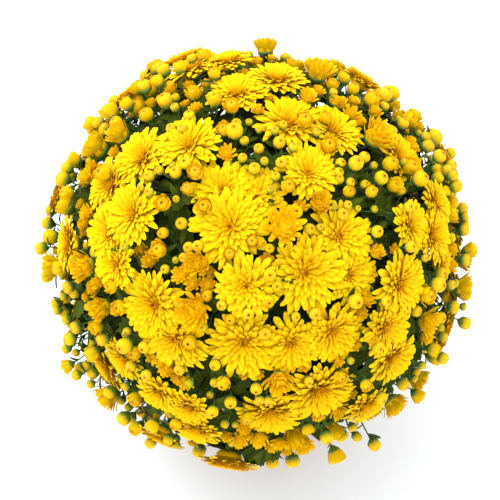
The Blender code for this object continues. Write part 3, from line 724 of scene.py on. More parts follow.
def rosette(radius, age_and_shade, t, turn, draw):
    """Petals of the ages t, which runs from 0 at the heart to 1 at the rim. The tips lie at t^0.6 of
    the radius, at a height that falls with the square of t, and the petals lean from upright to level
    as t grows. Their tint deepens towards the heart, as painted shade between the crowded inner petals.
    The flower's own age, with painted shade added where it sits low on the ball, makes all of them
    deeper in colour."""
    count = len(t)
    turn = turn + draw.normal(0, TURN_SCATTER, count)
    tip_away = radius * (0.03 + 0.97 * t**0.6) * draw.normal(1, LENGTH_SCATTER, count)
    tip_high = radius * (0.53 + 0.12 * t - 0.37 * t**2 + draw.normal(0, HEIGHT_SCATTER, count))
    roots = (radius * 0.10 * np.sqrt(t), radius * (0.05 + 0.13 * (1 - t)))
    leave = np.radians(80 - 50 * t**0.6)
    arrive = np.radians(106 - 126 * t**0.36 + draw.normal(0, LEAN_SCATTER, count))
    half_width = (1.0 + 1.25 * t**0.6) * MM * (0.7 + 0.3 * radius / USUAL_RADIUS)
    half_width = half_width * draw.normal(1, WIDTH_SCATTER, count)
    cup = 0.34 - 0.26 * t + draw.normal(0, CUP_SCATTER, count)
    form = SHORT_PETAL if t.max() < SHORT_SHARE else LONG_PETAL
    part = petals(turn, roots, (tip_away, tip_high), leave, arrive, half_width, cup, form, draw)
    # Tint deepens towards the heart: painted shade between the inner petals.
    return labelled(part, tint=np.clip(draw.normal(0.48 - 0.42 * t + age_and_shade, TINT_SCATTER, count), 0, 1))


def open_head(head, draw):
    """All petals of an open flower, the dome they stand on and the heart, painted brown as shade in the
    middle. The lower a head sits on the ball, the deeper its yellow: painted shade, added to its own
    age. The dome shows only between the petals, and its deepest tint is painted shade there."""
    radius = head["radius"] * PETAL_REACH
    # Painted shade: the lower the head faces, the deeper its tint, on top of a random age.
    age_and_shade = draw.uniform(*AGES) + PAINTED_SHADE_BELOW * (EVEN_HEIGHT - head["direction"].z)
    count = int(FEWEST_PETALS + PETALS_PER_MM * radius / MM)
    t = (np.arange(count) + 0.5) / count
    turn = np.arange(count) * GOLDEN_ANGLE
    short = t < SHORT_SHARE
    return [rosette(radius, age_and_shade, t[short], turn[short], draw),
            rosette(radius, age_and_shade, t[~short], turn[~short], draw),
            labelled(turned(radius, DOME), tint=1), labelled(turned(radius, HEART), heart=1)]


def settle(parts, head):
    """Moves parts modelled upright at the origin to the head's seat."""
    for part in parts:
        part["points"] = part["points"] @ head_matrix(head) + np.array(head["seat"])
    return parts


for number, (node, members) in enumerate(blooms.items(), 1):
    parts = []
    for place, head in enumerate(members):
        draw = np.random.default_rng(OPEN_SEED + SEEDS_A_NODE * number + place)
        parts += settle(open_head(head, draw), head)
    make_piece(f"petals_of_{node}", parts, petal_finish, "petals", node)
print_triangles("petals")

# %% [markdown]
# ## Stems, branches and stalks
# Five stems root in the soil. Above it each one forks to six branches, which arch out and carry the
# flower stalks. The CAD source draws the same lines, so they are worked out here by the same rule, and
# a rounder stem is laid round them, with its stalks curving a little as soft growth does.

# %% The lines of the branches
STEMS = 5
STEM_TURN = math.radians(18)
STEM_RING = 15 * MM
STEM_FOOT = 104.6 * MM
CROWN_RING = 22 * MM
CROWN_HEIGHT = 176 * MM
COLLAR_HEIGHT = 136 * MM
TOP_SHARE = 0.5
SPRAY_BASE = 92 * MM
SPRAY_TIP = 128 * MM
ARCH = 0.22
FORKS = ((26, 0), (58, -19), (58, 19), (90, -22), (90, 20), (114, 0))  # from the pole, round the stem
LEAF_PLACES = (0.04, 0.5)
LAST_STALK = 0.3


def polar(radius, from_pole, round_about):
    """A point of the ball at that distance from its centre."""
    across = radius * math.sin(from_pole)
    return BALL_CENTRE + Vector((
        across * math.cos(round_about), across * math.sin(round_about), radius * math.cos(from_pole)))


def spray_lines(stem):
    """The straight outer part of each branch of a stem, from base to tip."""
    centre = STEM_TURN + 2 * math.pi * stem / STEMS
    places = [(math.radians(down), centre + math.radians(aside)) for down, aside in FORKS]
    return [(polar(SPRAY_BASE, *place), polar(SPRAY_TIP, *place)) for place in places]


def stem_of(point):
    """Which stem's fifth of the ball a point is in."""
    turn = math.atan2(point.y, point.x) - STEM_TURN + math.pi / STEMS
    return int(turn % (2 * math.pi) / (2 * math.pi / STEMS)) % STEMS


def borne_by(stem, items):
    """The items in that stem's fifth of the ball, each with its place in the list."""
    return [(place, item) for place, item in enumerate(items) if stem_of(item["direction"]) == stem]


def plan_stem(stem):
    """A stem's trunk, its branches, the foot of every stalk with its head, and its leaves' places."""
    out = Vector((math.cos(STEM_TURN + 2 * math.pi * stem / STEMS),
                  math.sin(STEM_TURN + 2 * math.pi * stem / STEMS), 0))
    root, collar, crown = (out * ring + Vector((0, 0, height)) for ring, height in (
        (STEM_RING, STEM_FOOT), (STEM_RING, COLLAR_HEIGHT), (CROWN_RING, CROWN_HEIGHT)))
    sprays = spray_lines(stem)
    top = crown + (sprays[0][0] - crown) * TOP_SHARE
    borne = [[] for _ in sprays]
    for _, head in borne_by(stem, heads + buds):
        angles = [(tip - BALL_CENTRE).angle(head["direction"]) for _, tip in sprays]
        borne[angles.index(min(angles))].append((min(angles), head))
    branches, stalks, leaf_places = [], [], []
    for i, (base, tip) in enumerate(sprays):
        lift = Vector((0, 0, ARCH * (base - crown).length))
        arch = crown * 0.25 + ((crown + base) / 2 + lift) * 0.5 + base * 0.25
        path = [top, base] if i == 0 else [crown, arch, base]
        branches.append([*path, tip])
        leaf_places += path[1:-1] + [base + (tip - base) * share for share in LEAF_PLACES]
        for n, (_, head) in enumerate(sorted(borne[i], key=lambda item: -item[0])):
            stalks.append((base + (tip - base) * ((n + 1) / (len(borne[i]) + LAST_STALK)), head))
    return {"trunk": [root, collar, crown, top], "branches": branches, "stalks": stalks,
            "leaf_places": leaf_places, "sprays": sprays}


stems = [plan_stem(stem) for stem in range(STEMS)]
print("stalks on each stem:", [len(stem["stalks"]) for stem in stems])

# %% [markdown]
# ## More buds than the CAD model can hold
# In the photograph hundreds of buds and small heads stand between the flowers, singly and in twos and
# threes, at every stage from a closed ball to half open. The CAD model has room for a few dozen, so
# the rest are added here. The first two lists were read from the photograph. The third was not: most
# of its places and widths are those of a program, which compared the yellow parts of the photograph
# with those of a render and printed where the render had none. The far side's buds follow the same
# kind of rule as before. A bud may stand over a flower's outer petals, but not over its heart or in
# another bud. Each is carried by the nearest branch, on a stalk of its own.

# %% Buds of the photograph
PHOTO_BUDS = (  # x, y and width in pixels
    (164, 70, 13), (139, 87, 13), (167, 86, 10), (160, 98, 8), (175, 97, 9), (175, 107, 10),
    (172, 127, 10), (182, 128, 10), (66, 168, 12), (81, 175, 8), (71, 188, 6), (85, 154, 8),
    (88, 160, 7), (100, 137, 8), (148, 176, 12), (159, 170, 10), (175, 173, 13), (172, 166, 8),
    (104, 128, 12), (95, 124, 13), (133, 180, 8), (192, 58, 10), (211, 55, 12), (229, 53, 8),
    (237, 53, 9), (250, 54, 8), (285, 56, 10), (309, 62, 11), (188, 117, 12), (236, 122, 11),
    (249, 122, 8), (245, 141, 10), (260, 148, 11), (241, 158, 10), (254, 169, 13), (265, 161, 9),
    (282, 161, 12), (293, 148, 10), (278, 141, 13), (275, 130, 9), (283, 124, 9), (317, 132, 9),
    (276, 177, 10), (185, 163, 13), (259, 130, 7), (333, 92, 9), (398, 103, 12), (385, 106, 11),
    (405, 124, 12), (399, 120, 8), (427, 127, 12), (434, 136, 9), (428, 139, 9), (393, 131, 12),
    (441, 156, 13), (434, 159, 11), (437, 168, 11), (438, 178, 12), (453, 173, 11), (455, 181, 13),
    (404, 162, 8), (364, 158, 12), (373, 165, 8), (340, 163, 12), (338, 172, 11), (341, 180, 10),
    (364, 184, 9), (350, 184, 10), (40, 246, 13), (94, 252, 9), (86, 245, 8), (125, 247, 8),
    (46, 276, 12), (66, 286, 13), (73, 289, 11), (62, 293, 6), (55, 304, 12), (63, 309, 13),
    (57, 313, 9), (66, 322, 12), (94, 309, 8), (140, 188, 8), (149, 192, 10), (175, 199, 8),
    (163, 231, 12), (181, 223, 13), (175, 259, 8), (165, 269, 10), (184, 257, 10), (126, 331, 9),
    (74, 328, 13), (189, 247, 12), (196, 257, 12), (296, 213, 13), (270, 190, 8), (308, 229, 12),
    (320, 227, 8), (270, 248, 10), (270, 275, 13), (277, 286, 11), (223, 306, 11), (248, 313, 12),
    (204, 328, 10), (295, 317, 10), (315, 314, 13), (185, 306, 8), (365, 185, 9), (401, 190, 10),
    (348, 205, 9), (334, 207, 7), (343, 214, 13), (358, 209, 7), (374, 209, 8), (378, 231, 13),
    (409, 207, 11), (411, 247, 12), (452, 205, 9), (462, 205, 12), (465, 213, 9), (465, 220, 10),
    (461, 228, 9), (452, 238, 10), (447, 190, 11), (450, 195, 9), (441, 273, 12), (452, 286, 10),
    (416, 311, 12), (386, 302, 11), (455, 308, 13), (464, 307, 8), (442, 319, 13), (466, 323, 13),
    (426, 258, 8), (441, 328, 8), (66, 349, 10), (76, 355, 8), (85, 364, 10), (92, 374, 12),
    (78, 380, 11), (88, 382, 9), (68, 336, 12), (103, 340, 13), (93, 345, 8), (144, 347, 13),
    (130, 365, 12), (145, 376, 11), (125, 387, 9), (128, 408, 9), (130, 419, 12), (140, 425, 8),
    (151, 444, 12), (165, 413, 11), (168, 440, 10), (176, 446, 8), (179, 370, 12), (178, 359, 8),
    (127, 333, 9), (216, 365, 12), (215, 383, 10), (210, 395, 8), (212, 412, 12), (230, 403, 13),
    (226, 424, 9), (257, 389, 13), (260, 400, 11), (235, 425, 8), (231, 444, 8), (272, 463, 13),
    (309, 381, 10), (325, 435, 8), (190, 383, 9), (265, 335, 13), (268, 400, 10), (353, 428, 10),
    (356, 438, 10), (375, 446, 13), (370, 412, 9), (382, 398, 12), (422, 366, 9), (417, 373, 10),
    (415, 379, 7), (443, 338, 10), (443, 330, 9), (378, 347, 12), (350, 361, 8),
)
PHOTO_GOBLETS = (  # buds that have begun to open
    (86, 126, 18), (107, 111, 20), (115, 120, 16), (125, 103, 16), (133, 110, 17), (145, 113, 17),
    (150, 90, 14), (130, 93, 14), (157, 80, 15), (178, 66, 15), (193, 93, 16), (214, 100, 16),
    (232, 105, 16), (214, 72, 14), (203, 54, 14), (226, 128, 17), (305, 119, 18), (325, 117, 14),
    (329, 143, 19), (195, 172, 18), (101, 172, 20), (72, 160, 18), (162, 202, 18), (158, 252, 18),
    (62, 208, 20), (49, 236, 18), (58, 268, 18), (65, 192, 15), (95, 327, 15), (118, 308, 18),
    (111, 288, 14), (267, 301, 16), (188, 189, 14), (205, 205, 16), (204, 299, 14), (252, 241, 14),
    (228, 255, 14), (230, 320, 14), (350, 190, 15), (372, 192, 14), (395, 185, 16), (344, 77, 14),
    (372, 96, 19), (393, 92, 20), (413, 111, 16), (419, 128, 17), (422, 178, 18), (391, 163, 18),
    (414, 167, 20), (452, 215, 18), (472, 252, 16), (430, 290, 19), (356, 302, 18), (66, 367, 14),
    (90, 355, 18), (133, 355, 17), (133, 399, 16), (152, 428, 15), (176, 426, 14), (189, 345, 18),
    (223, 383, 16), (308, 430, 14), (340, 378, 15), (371, 338, 14), (368, 385, 14), (435, 352, 16),
    (337, 457, 18), (247, 419, 14), (419, 397, 15), (288, 184, 18), (355, 88, 15), (333, 84, 13),
    (362, 82, 14),
)
PHOTO_HALF_OPEN = (  # small heads: 75 of these 83 places were printed by a program, not read by eye
    (206, 287, 24), (355, 109, 24), (309, 91, 24), (82, 212, 24), (178, 277, 24), (146, 262, 24),
    (164, 375, 24), (339, 417, 24), (225, 149, 24), (380, 254, 24), (370, 302, 24), (94, 284, 21),
    (303, 454, 22), (302, 206, 21), (337, 460, 20), (378, 108, 21), (185, 386, 21), (337, 97, 20),
    (457, 268, 21), (149, 360, 18), (203, 81, 18), (429, 293, 18), (111, 150, 18), (267, 260, 18),
    (256, 58, 18), (418, 144, 18), (194, 105, 18), (87, 165, 18), (81, 182, 16), (456, 249, 16),
    (353, 398, 16), (81, 231, 16), (268, 95, 16), (186, 82, 16), (243, 70, 16), (93, 120, 16),
    (320, 420, 17), (340, 364, 16), (259, 377, 15), (272, 55, 15), (358, 349, 14), (192, 446, 15),
    (399, 249, 14), (244, 378, 14), (281, 449, 20), (247, 441, 18), (226, 441, 16), (80, 176, 24),
    (89, 290, 22), (191, 287, 22), (245, 434, 21), (431, 339, 21), (340, 99, 21), (152, 362, 21),
    (319, 87, 18), (168, 86, 18), (457, 251, 18), (137, 251, 18), (133, 109, 18), (223, 128, 18),
    (238, 447, 22), (260, 446, 26), (306, 453, 22), (288, 455, 20), (274, 452, 20), (305, 371, 18),
    (356, 98, 18), (364, 315, 18), (415, 140, 16), (184, 102, 14), (53, 249, 14), (211, 273, 14),
    (63, 306, 14), (83, 298, 14), (77, 204, 16), (78, 166, 16), (419, 145, 18), (79, 223, 18),
    (174, 381, 16), (363, 119, 16), (258, 107, 16), (65, 308, 16), (149, 98, 16),
)
print("buds at pixels of the photograph:", len(PHOTO_BUDS) + len(PHOTO_GOBLETS) + len(PHOTO_HALF_OPEN))

# %% How a bud stands
CLEAR_PROUD = (3, 9)
PETAL_TOP = 0.52
PETAL_FALL = 0.25
BUD_LIFT = 0.1
MOST_PROUD = 20 * MM
HALF_PROUD = (0, 6 * MM)
LIGHT_LEAN = 0.5
MOST_LEAN = 0.35
HEART_ROOM = 4 * MM
CLOSENESS = {"bud": 0.7, "goblet": 0.6, "half": 0.45}
open_heads = [head for head in heads if head["kind"] == "open"]


def apart(one, other):
    """How far apart two flowers stand, measured where the petals spread."""
    return (one["direction"] - other["direction"]).length * SPREAD_RADIUS


def clear_height(direction, radius, draw):
    """How far above the mean seat a bud stands, so that it clears the petals that are under it, whose
    level falls with the square of the distance from their heart."""
    proud = draw.uniform(*CLEAR_PROUD) * MM
    for head in open_heads:
        share = (direction - head["direction"]).length * SPREAD_RADIUS / (head["radius"] + radius)
        if share < 1:
            level = (head["seat"] - BALL_CENTRE).length - SEAT_RADIUS
            petal = level + head["radius"] * (PETAL_TOP - PETAL_FALL * share**2)
            proud = max(proud, petal + BUD_LIFT * radius)
    return min(proud, MOST_PROUD)


def proud_of(kind, direction, radius, draw):
    """How far above the mean seat it stands. A half-open head has pushed the petals aside."""
    return draw.uniform(*HALF_PROUD) if kind == "half" else clear_height(direction, radius, draw)


def bud_at(direction, radius, proud, kind, draw):
    """A bud on its seat, leaning a little to one side. A half-open head also leans up to the light."""
    lift = Vector((0, 0, LIGHT_LEAN if kind == "half" else 0))
    axis = tilted((direction + lift).normalized(), draw.uniform(0, MOST_LEAN), draw.uniform(0, 2 * math.pi))
    return {"kind": kind, "direction": direction, "radius": radius, "axis": axis,
            "seat": BALL_CENTRE + direction * (SEAT_RADIUS + proud), "toward": axis.orthogonal().normalized()}


def room_between(bud, other):
    """How far apart they must be: a bud may stand over petals, not over a heart or in another bud."""
    if other["kind"] == "open":
        return HEART_ROOM
    return CLOSENESS[bud["kind"]] * (bud["radius"] + other["radius"])


# %% Buds on the side that the camera sees
NUDGES = 4
NUDGE_SPARE = 0.5 * MM
RIM_PROUD_MOST = 24 * MM


def seen_buds(solid):
    """The buds at pixels of the photograph: a width in pixels gives a radius by the distance to the
    camera, and a bud that is seen against the background stands out as far as its pixel is from the
    middle. One that is crowded is nudged aside a few times."""
    draw = random.Random(SEED + 2)
    added = []
    rows = [("goblet", *row) for row in PHOTO_GOBLETS] + [("bud", *row) for row in PHOTO_BUDS]
    for kind, x, y, wide in rows + [("half", *row) for row in PHOTO_HALF_OPEN]:
        direction = photo_direction(x, y)
        away = (camera.location - BALL_CENTRE - direction * SPREAD_RADIUS).length
        radius = wide * away / FOCAL_PIXELS / 2
        proud = proud_of(kind, direction, radius, draw)
        off = math.atan(math.hypot(x - PHOTO_CENTRE[0], y - PHOTO_CENTRE[1]) / FOCAL_PIXELS)
        outline = CAMERA_DISTANCE * math.sin(off) - SEAT_RADIUS - radius
        proud = max(proud, min(outline, RIM_PROUD_MOST))
        direction = photo_direction(x, y, SEAT_RADIUS + proud + radius)
        others = solid + added
        for _ in range(NUDGES):
            bud = bud_at(direction, radius, proud, kind, draw)
            lack, crowder = min((apart(bud, o) - room_between(bud, o), n) for n, o in enumerate(others))
            if lack > 0:
                added.append(bud)
                break
            aside = (direction - others[crowder]["direction"]).normalized()
            direction = (direction + aside * ((NUDGE_SPARE - lack) / SPREAD_RADIUS)).normalized()
    return added


extra = seen_buds(heads + buds)
print("of them placed:", len(extra))

# %% Buds of the far side
FAR_PLACES = 1500
FAR_BUDS = 155
FAR_GOBLETS = 0.22
FAR_HALVES = 0.16
FAR_RADII = {"bud": (2.6 * MM, 6.0 * MM), "goblet": (6 * MM, 8 * MM), "half": (8 * MM, 12 * MM)}
STALK_FOOT = 0.8


def far_buds(solid):
    """Places on the golden spiral beyond what the camera sees, kept where no heart and no bud is near."""
    draw = random.Random(SEED + 3)
    places = [d for d in golden_spiral(FAR_PLACES)
              if d.z > math.cos(LOWEST_HEAD + BUD_FOOTROOM) and d.angle(TOWARDS_CAMERA) > SEEN_CAP]
    draw.shuffle(places)
    added = []
    for direction in places:
        shares = (FAR_HALVES, FAR_GOBLETS, 1 - FAR_HALVES - FAR_GOBLETS)
        kind = draw.choices(("half", "goblet", "bud"), shares)[0]
        radius = draw.uniform(*FAR_RADII[kind])
        bud = bud_at(direction, radius, proud_of(kind, direction, radius, draw), kind, draw)
        near = [apart(bud, o) - (o["radius"] / 2 if o["kind"] == "open" else radius + o["radius"])
                for o in solid + added]
        if min(near) > 0 and len(added) < FAR_BUDS:
            added.append(bud)
    return added


extra += far_buds(heads + buds + extra)
young_heads = [head for head in heads if head["kind"] == "young"]
small_heads = [bud for bud in extra if bud["kind"] == "half"]
goblets = [bud for bud in extra if bud["kind"] == "goblet"]
all_buds = buds + [bud for bud in extra if bud["kind"] == "bud"]
for bud in extra:
    stem = stems[stem_of(bud["direction"])]
    base, tip = min(stem["sprays"], key=lambda spray: (spray[1] - bud["seat"]).length)
    stem["stalks"].append((base + (tip - base) * STALK_FOOT, bud))
print("buds added:", len(extra), "opening:", len(goblets), "half open:", len(small_heads))

# %% [markdown]
# ## Green growth finish
# Young stems and sepals are a fresh green, older wood near the soil turns brown. Fine lengthwise ridges
# catch the light. The colour follows the height above the soil, so it reads the place in the frame.

# %% Stems and sepals
OLD_WOOD = (0.10, 0.06, 0.025)
FIRM_GREEN = (0.045, 0.075, 0.016)
SOFT_GREEN = (0.05, 0.12, 0.02)
FRESH_GREEN = (0.16, 0.30, 0.03, 1)
SPECKLE_GREEN = (0.03, 0.07, 0.012, 1)
WOODY_BELOW = 0.12
SOFT_ABOVE = 0.24
RIDGES = 4


def green_look():
    """Green that turns to brown wood near the soil, with ridges along the stem."""
    look, tree, shader = new_look("green_growth", 0.55, 0.35)
    _, across = surface_map(tree)
    split = add_node(tree, "ShaderNodeSeparateXYZ", {"Vector": object_place(tree)})
    height = add_node(tree, "ShaderNodeMapRange", {
        "Value": split.outputs["Z"], "From Min": WOODY_BELOW, "From Max": SOFT_ABOVE}).outputs["Result"]
    colour = ramp(tree, height, (0.0, OLD_WOOD), (0.5, FIRM_GREEN), (1.0, SOFT_GREEN))
    fresh = blended(tree, label(tree, "young"), colour, FRESH_GREEN)
    speckle = math_node(tree, "MULTIPLY", noise(tree, 420.0, 3.0), 0.5)
    colour = blended(tree, speckle, fresh, SPECKLE_GREEN)
    tree.links.new(colour, shader.inputs["Base Color"])
    ridges = math_node(tree, "SINE", math_node(tree, "MULTIPLY", across, 2 * math.pi * RIDGES))
    relief(tree, shader, ridges, 0.3, 0.1 * MM)
    return look


green_finish = green_look()
print("nodes in the green finish:", len(green_finish.node_tree.nodes))

# %% Round stems along lines
TRUNK_RADII = (3.4 * MM, 3.2 * MM, 3.0 * MM, 1.9 * MM)
BRANCH_RADII = (2.0 * MM, 1.1 * MM)
STALK_RADIUS = 1.0 * MM
BUD_STALK_RADIUS = 0.65 * MM
NECK = 6 * MM
BOW = 2 * MM
STALK_GREEN = 0.4
NEARLY_UPRIGHT = 0.9


def smooth_line(points, count):
    """A smooth line through the points: between two of them it is the cubic Catmull-Rom mean of these
    and the next on either side. Beyond each end the last step is repeated."""
    points = np.array(points)
    padded = np.concatenate((2 * points[:1] - points[1:2], points, 2 * points[-1:] - points[-2:-1]))
    place = np.linspace(0, len(points) - 1, count)
    i = np.minimum(place.astype(int), len(points) - 2)
    s = (place - i)[:, None]
    p0, p1, p2, p3 = (padded[i + k] for k in range(4))
    return 0.5 * (2 * p1 + (p2 - p0) * s + (2 * p0 - 5 * p1 + 4 * p2 - p3) * s**2
                  + (3 * p1 - p0 - 3 * p2 + p3) * s**3)


def tubes(lines, radii, around=6):
    """Round skins: rings stand square to the line, and a doubled end point closes each end flat."""
    lines = np.asarray(lines, float)
    radii = np.broadcast_to(radii, lines.shape[:2])
    tangent = unit(np.gradient(lines, axis=1))
    chord = unit(lines[:, -1] - lines[:, 0])
    aside = np.where(np.abs(chord[:, 2:]) < NEARLY_UPRIGHT, (0, 0, 1.0), (1.0, 0, 0))
    side = unit(np.cross(tangent, aside[:, None]))
    face = np.cross(tangent, side)

    def closed(rows):
        return np.concatenate((rows[:, :1], rows, rows[:, -1:]), axis=1)

    return skin(closed(lines), closed(side), closed(face), closed(radii), closed(radii), around=around)


def stalk_line(foot, head, count=8):
    """A stalk leaves its branch, bows a little and comes up into the head along its axis."""
    neck = head["seat"] - head["axis"] * NECK
    middle = (foot + neck) / 2 + (head["direction"] - head["axis"] * 0.6) * BOW
    return smooth_line((foot, middle, neck, head["seat"]), count)


for number, stem in enumerate(stems, 1):
    trunk_radii = np.interp(np.linspace(0, 3, 12), range(4), TRUNK_RADII)
    parts = [tubes([smooth_line(stem["trunk"], 12)], trunk_radii, 10)]
    branches = np.array([smooth_line(path, 10) for path in stem["branches"]])
    parts.append(tubes(branches, np.linspace(*BRANCH_RADII, 10), 8))
    thick = [pair for pair in stem["stalks"] if pair[1]["kind"] in ("open", "young")]
    thin = [pair for pair in stem["stalks"] if pair[1]["kind"] not in ("open", "young")]
    parts.append(tubes([stalk_line(*pair) for pair in thick], STALK_RADIUS))
    thin_tubes = tubes([stalk_line(*pair, 6) for pair in thin], BUD_STALK_RADIUS, 5)
    parts.append(labelled(thin_tubes, young=STALK_GREEN))
    make_piece(f"stems_{number}", parts, green_finish, "foliage", f"leafy_stem_{number}")
print_triangles("stems")

# %% [markdown]
# ## Calyxes
# Under every head a green cup of overlapping sepals holds the petals together. It flares from the
# stalk to the flower's base. Its lip is scalloped, one point for each sepal.

# %% Green cups under the heads
CUP_SIDES = 10
CUP_GREEN = 0.5
SEPAL_NOTCH = 0.12


def revolved(items, heights, widths, scallop, around=CUP_SIDES):
    """Skins turned round each item's axis through rings of given height and radius, in shares of its
    radius. Every second point of the last ring stands back by the share scallop of the ring."""
    seats = np.array([item["seat"] for item in items])
    frames = np.array([head_matrix(item) for item in items])
    radius = np.array([item["radius"] for item in items])[:, None]
    heights = np.broadcast_to(heights, (len(items), np.shape(heights)[-1])) * radius
    widths = np.broadcast_to(widths, heights.shape) * radius
    line = seats[:, None] + frames[:, None, 2] * heights[..., None]
    side = np.broadcast_to(frames[:, None, 0], line.shape)
    face = np.broadcast_to(frames[:, None, 1], line.shape)
    swell = np.ones((*widths.shape, around))
    swell[:, -2, ::2] -= scallop
    return skin(line, side, face, widths, widths, around=around, swell=swell)


cups = (  # heights and widths of the rings, in shares of the flower's radius
    (open_heads, (-0.30, -0.29, -0.12, 0.0, 0.10, 0.06), (0, 0.05, 0.20, 0.30, 0.36, 0)),
    (young_heads + small_heads, (-0.32, -0.30, -0.10, 0.06, 0.20, 0.14), (0, 0.07, 0.28, 0.42, 0.50, 0)),
    (goblets, (-0.45, -0.43, -0.08, 0.14, 0.38, 0.30), (0, 0.10, 0.44, 0.66, 0.76, 0)),
    (all_buds, (-0.40, -0.38, 0.0, 0.26, 0.62, 0.50), (0, 0.16, 0.60, 0.88, 1.0, 0)),
)
for number in range(1, STEMS + 1):
    parts = []
    for items, heights, widths in cups:
        own = [item for _, item in borne_by(number - 1, items)]
        parts.append(labelled(revolved(own, heights, widths, SEPAL_NOTCH), young=CUP_GREEN))
    make_piece(f"calyxes_{number}", parts, green_finish, "foliage", f"leafy_stem_{number}")
print_triangles("calyxes")

# %% [markdown]
# ## Half-open heads
# A half-open head is a goblet: its petals stand up round a small dark mouth, and the outermost just
# begin to lean away. It is made as the open ones are, with fewer petals that leave the base more
# steeply. How far it has opened varies from head to head.

# %% Half-open heads
YOUNG_FORMS = {"young": (44, LONG_PETAL), "half": (32, SHORT_PETAL)}
YOUNG_OPENED = (0.4, 1)
YOUNG_RADIUS = 15 * MM
YOUNG_TURN_SCATTER = 0.08
YOUNG_HEIGHT_SCATTER = 0.035
YOUNG_LEAN_SCATTER = 7
YOUNG_TINT_SCATTER = 0.2
YOUNG_SEED = 3000
YOUNG_DOME = (np.array((0.05, 0.07, 0.30, 0.55, 0.66, 0.68)), np.array((0, 0.36, 0.50, 0.40, 0.16, 0)))


def young_head(head, draw):
    """Petals of a goblet: tips from the mouth to the radius, higher at the mouth than at the rim by a
    share that grows with the square of t. The more it has opened, the further they lean out."""
    count, form = YOUNG_FORMS[head["kind"]]
    radius = head["radius"]
    opened = draw.uniform(*YOUNG_OPENED)
    t = (np.arange(count) + 0.5) / count
    turn = np.arange(count) * GOLDEN_ANGLE + draw.normal(0, YOUNG_TURN_SCATTER, count)
    tip_away = radius * (0.08 + 0.07 * opened + (0.55 + 0.34 * opened) * t**0.8)
    tip_away = tip_away * draw.normal(1, LENGTH_SCATTER, count)
    tip_high = radius * (1.02 - (0.10 + 0.26 * opened) * t**2 + draw.normal(0, YOUNG_HEIGHT_SCATTER, count))
    roots = (radius * 0.16 * np.sqrt(t), radius * 0.06 * (1 - t))
    leave = np.radians(78 - (44 + 6 * opened) * t)
    lean = draw.normal(0, YOUNG_LEAN_SCATTER, count)
    arrive = np.radians(112 - 25 * opened - (28 + 24 * opened) * t + lean)
    half_width = (1.1 + 1.0 * t) * MM * (0.5 + 0.5 * radius / YOUNG_RADIUS)
    half_width = half_width * draw.normal(1, WIDTH_SCATTER, count)
    cup = 0.40 - 0.2 * t
    part = petals(turn, roots, (tip_away, tip_high), leave, arrive, half_width, cup, form, draw)
    part = labelled(part, tint=np.clip(draw.normal(0.25, YOUNG_TINT_SCATTER, count), 0, 1))
    return settle([part, labelled(turned(radius, YOUNG_DOME), tint=0.5)], head)


for number in range(1, STEMS + 1):
    parts = []
    for place, head in borne_by(number - 1, young_heads + small_heads):
        parts += young_head(head, np.random.default_rng(YOUNG_SEED + place))
    make_piece(f"half_open_heads_{number}", parts, petal_finish, "petals", f"leafy_stem_{number}")
print_triangles("half_open_heads")

# %% Buds that have begun to open
GOBLET_PETALS = 18
GOBLET_SPREAD = 1.28
GOBLET_OPENED = (0.15, 1)
GOBLET_LENGTH_SCATTER = 0.06
GOBLET_HEIGHT_SCATTER = 0.05
GOBLET_SEED = 3500


def goblet(head, draw):
    """Petals that still hug the ball inside them: each bows out and comes back to a tip at the mouth,
    and the more the bud has opened, the further its outer tips stand off."""
    radius = head["radius"] * GOBLET_SPREAD
    opened = draw.uniform(*GOBLET_OPENED)
    t = (np.arange(GOBLET_PETALS) + 0.5) / GOBLET_PETALS
    turn = np.arange(GOBLET_PETALS) * GOLDEN_ANGLE + draw.normal(0, YOUNG_TURN_SCATTER, GOBLET_PETALS)
    tip_away = radius * (0.34 + 0.10 * opened + (0.20 + 0.36 * opened) * t)
    tip_away = tip_away * draw.normal(1, GOBLET_LENGTH_SCATTER, GOBLET_PETALS)
    rise = draw.normal(0, GOBLET_HEIGHT_SCATTER, GOBLET_PETALS)
    tip_high = radius * (1.20 + 0.12 * opened - 0.26 * t + rise)
    roots = (radius * np.full(GOBLET_PETALS, 0.18), radius * 0.04 * (1 - t))
    leave = np.radians(22 - 10 * t)
    lean = draw.normal(0, YOUNG_LEAN_SCATTER, GOBLET_PETALS)
    arrive = np.radians(124 - 24 * opened - (10 + 30 * opened) * t + lean)
    half_width = (0.24 + 0.08 * t) * radius * draw.normal(1, WIDTH_SCATTER, GOBLET_PETALS)
    cup = 0.35 - 0.1 * t
    part = petals(turn, roots, (tip_away, tip_high), leave, arrive, half_width, cup, LONG_PETAL, draw)
    tint = np.clip(draw.normal(0.35, YOUNG_TINT_SCATTER, GOBLET_PETALS), 0, 1)
    return settle([labelled(part, tint=tint)], head)


for number in range(1, STEMS + 1):
    parts = []
    for place, head in borne_by(number - 1, goblets):
        parts += goblet(head, np.random.default_rng(GOBLET_SEED + place))
    make_piece(f"opening_buds_{number}", parts, petal_finish, "petals", f"leafy_stem_{number}")
print_triangles("opening_buds")

# %% [markdown]
# ## Buds
# A bud is a ball of petals still wrapped over each other. They meet at the top in a tiny mouth, painted
# near black as shade in its dimple. It is a turned skin with a dimple, and the creases between its
# petals are left to the finish, which runs from green at the foot of the youngest to the yellow that
# is about to open, and paints the creases orange as shade between the wrapped petals. Each opening bud
# has the same ball inside its petals.

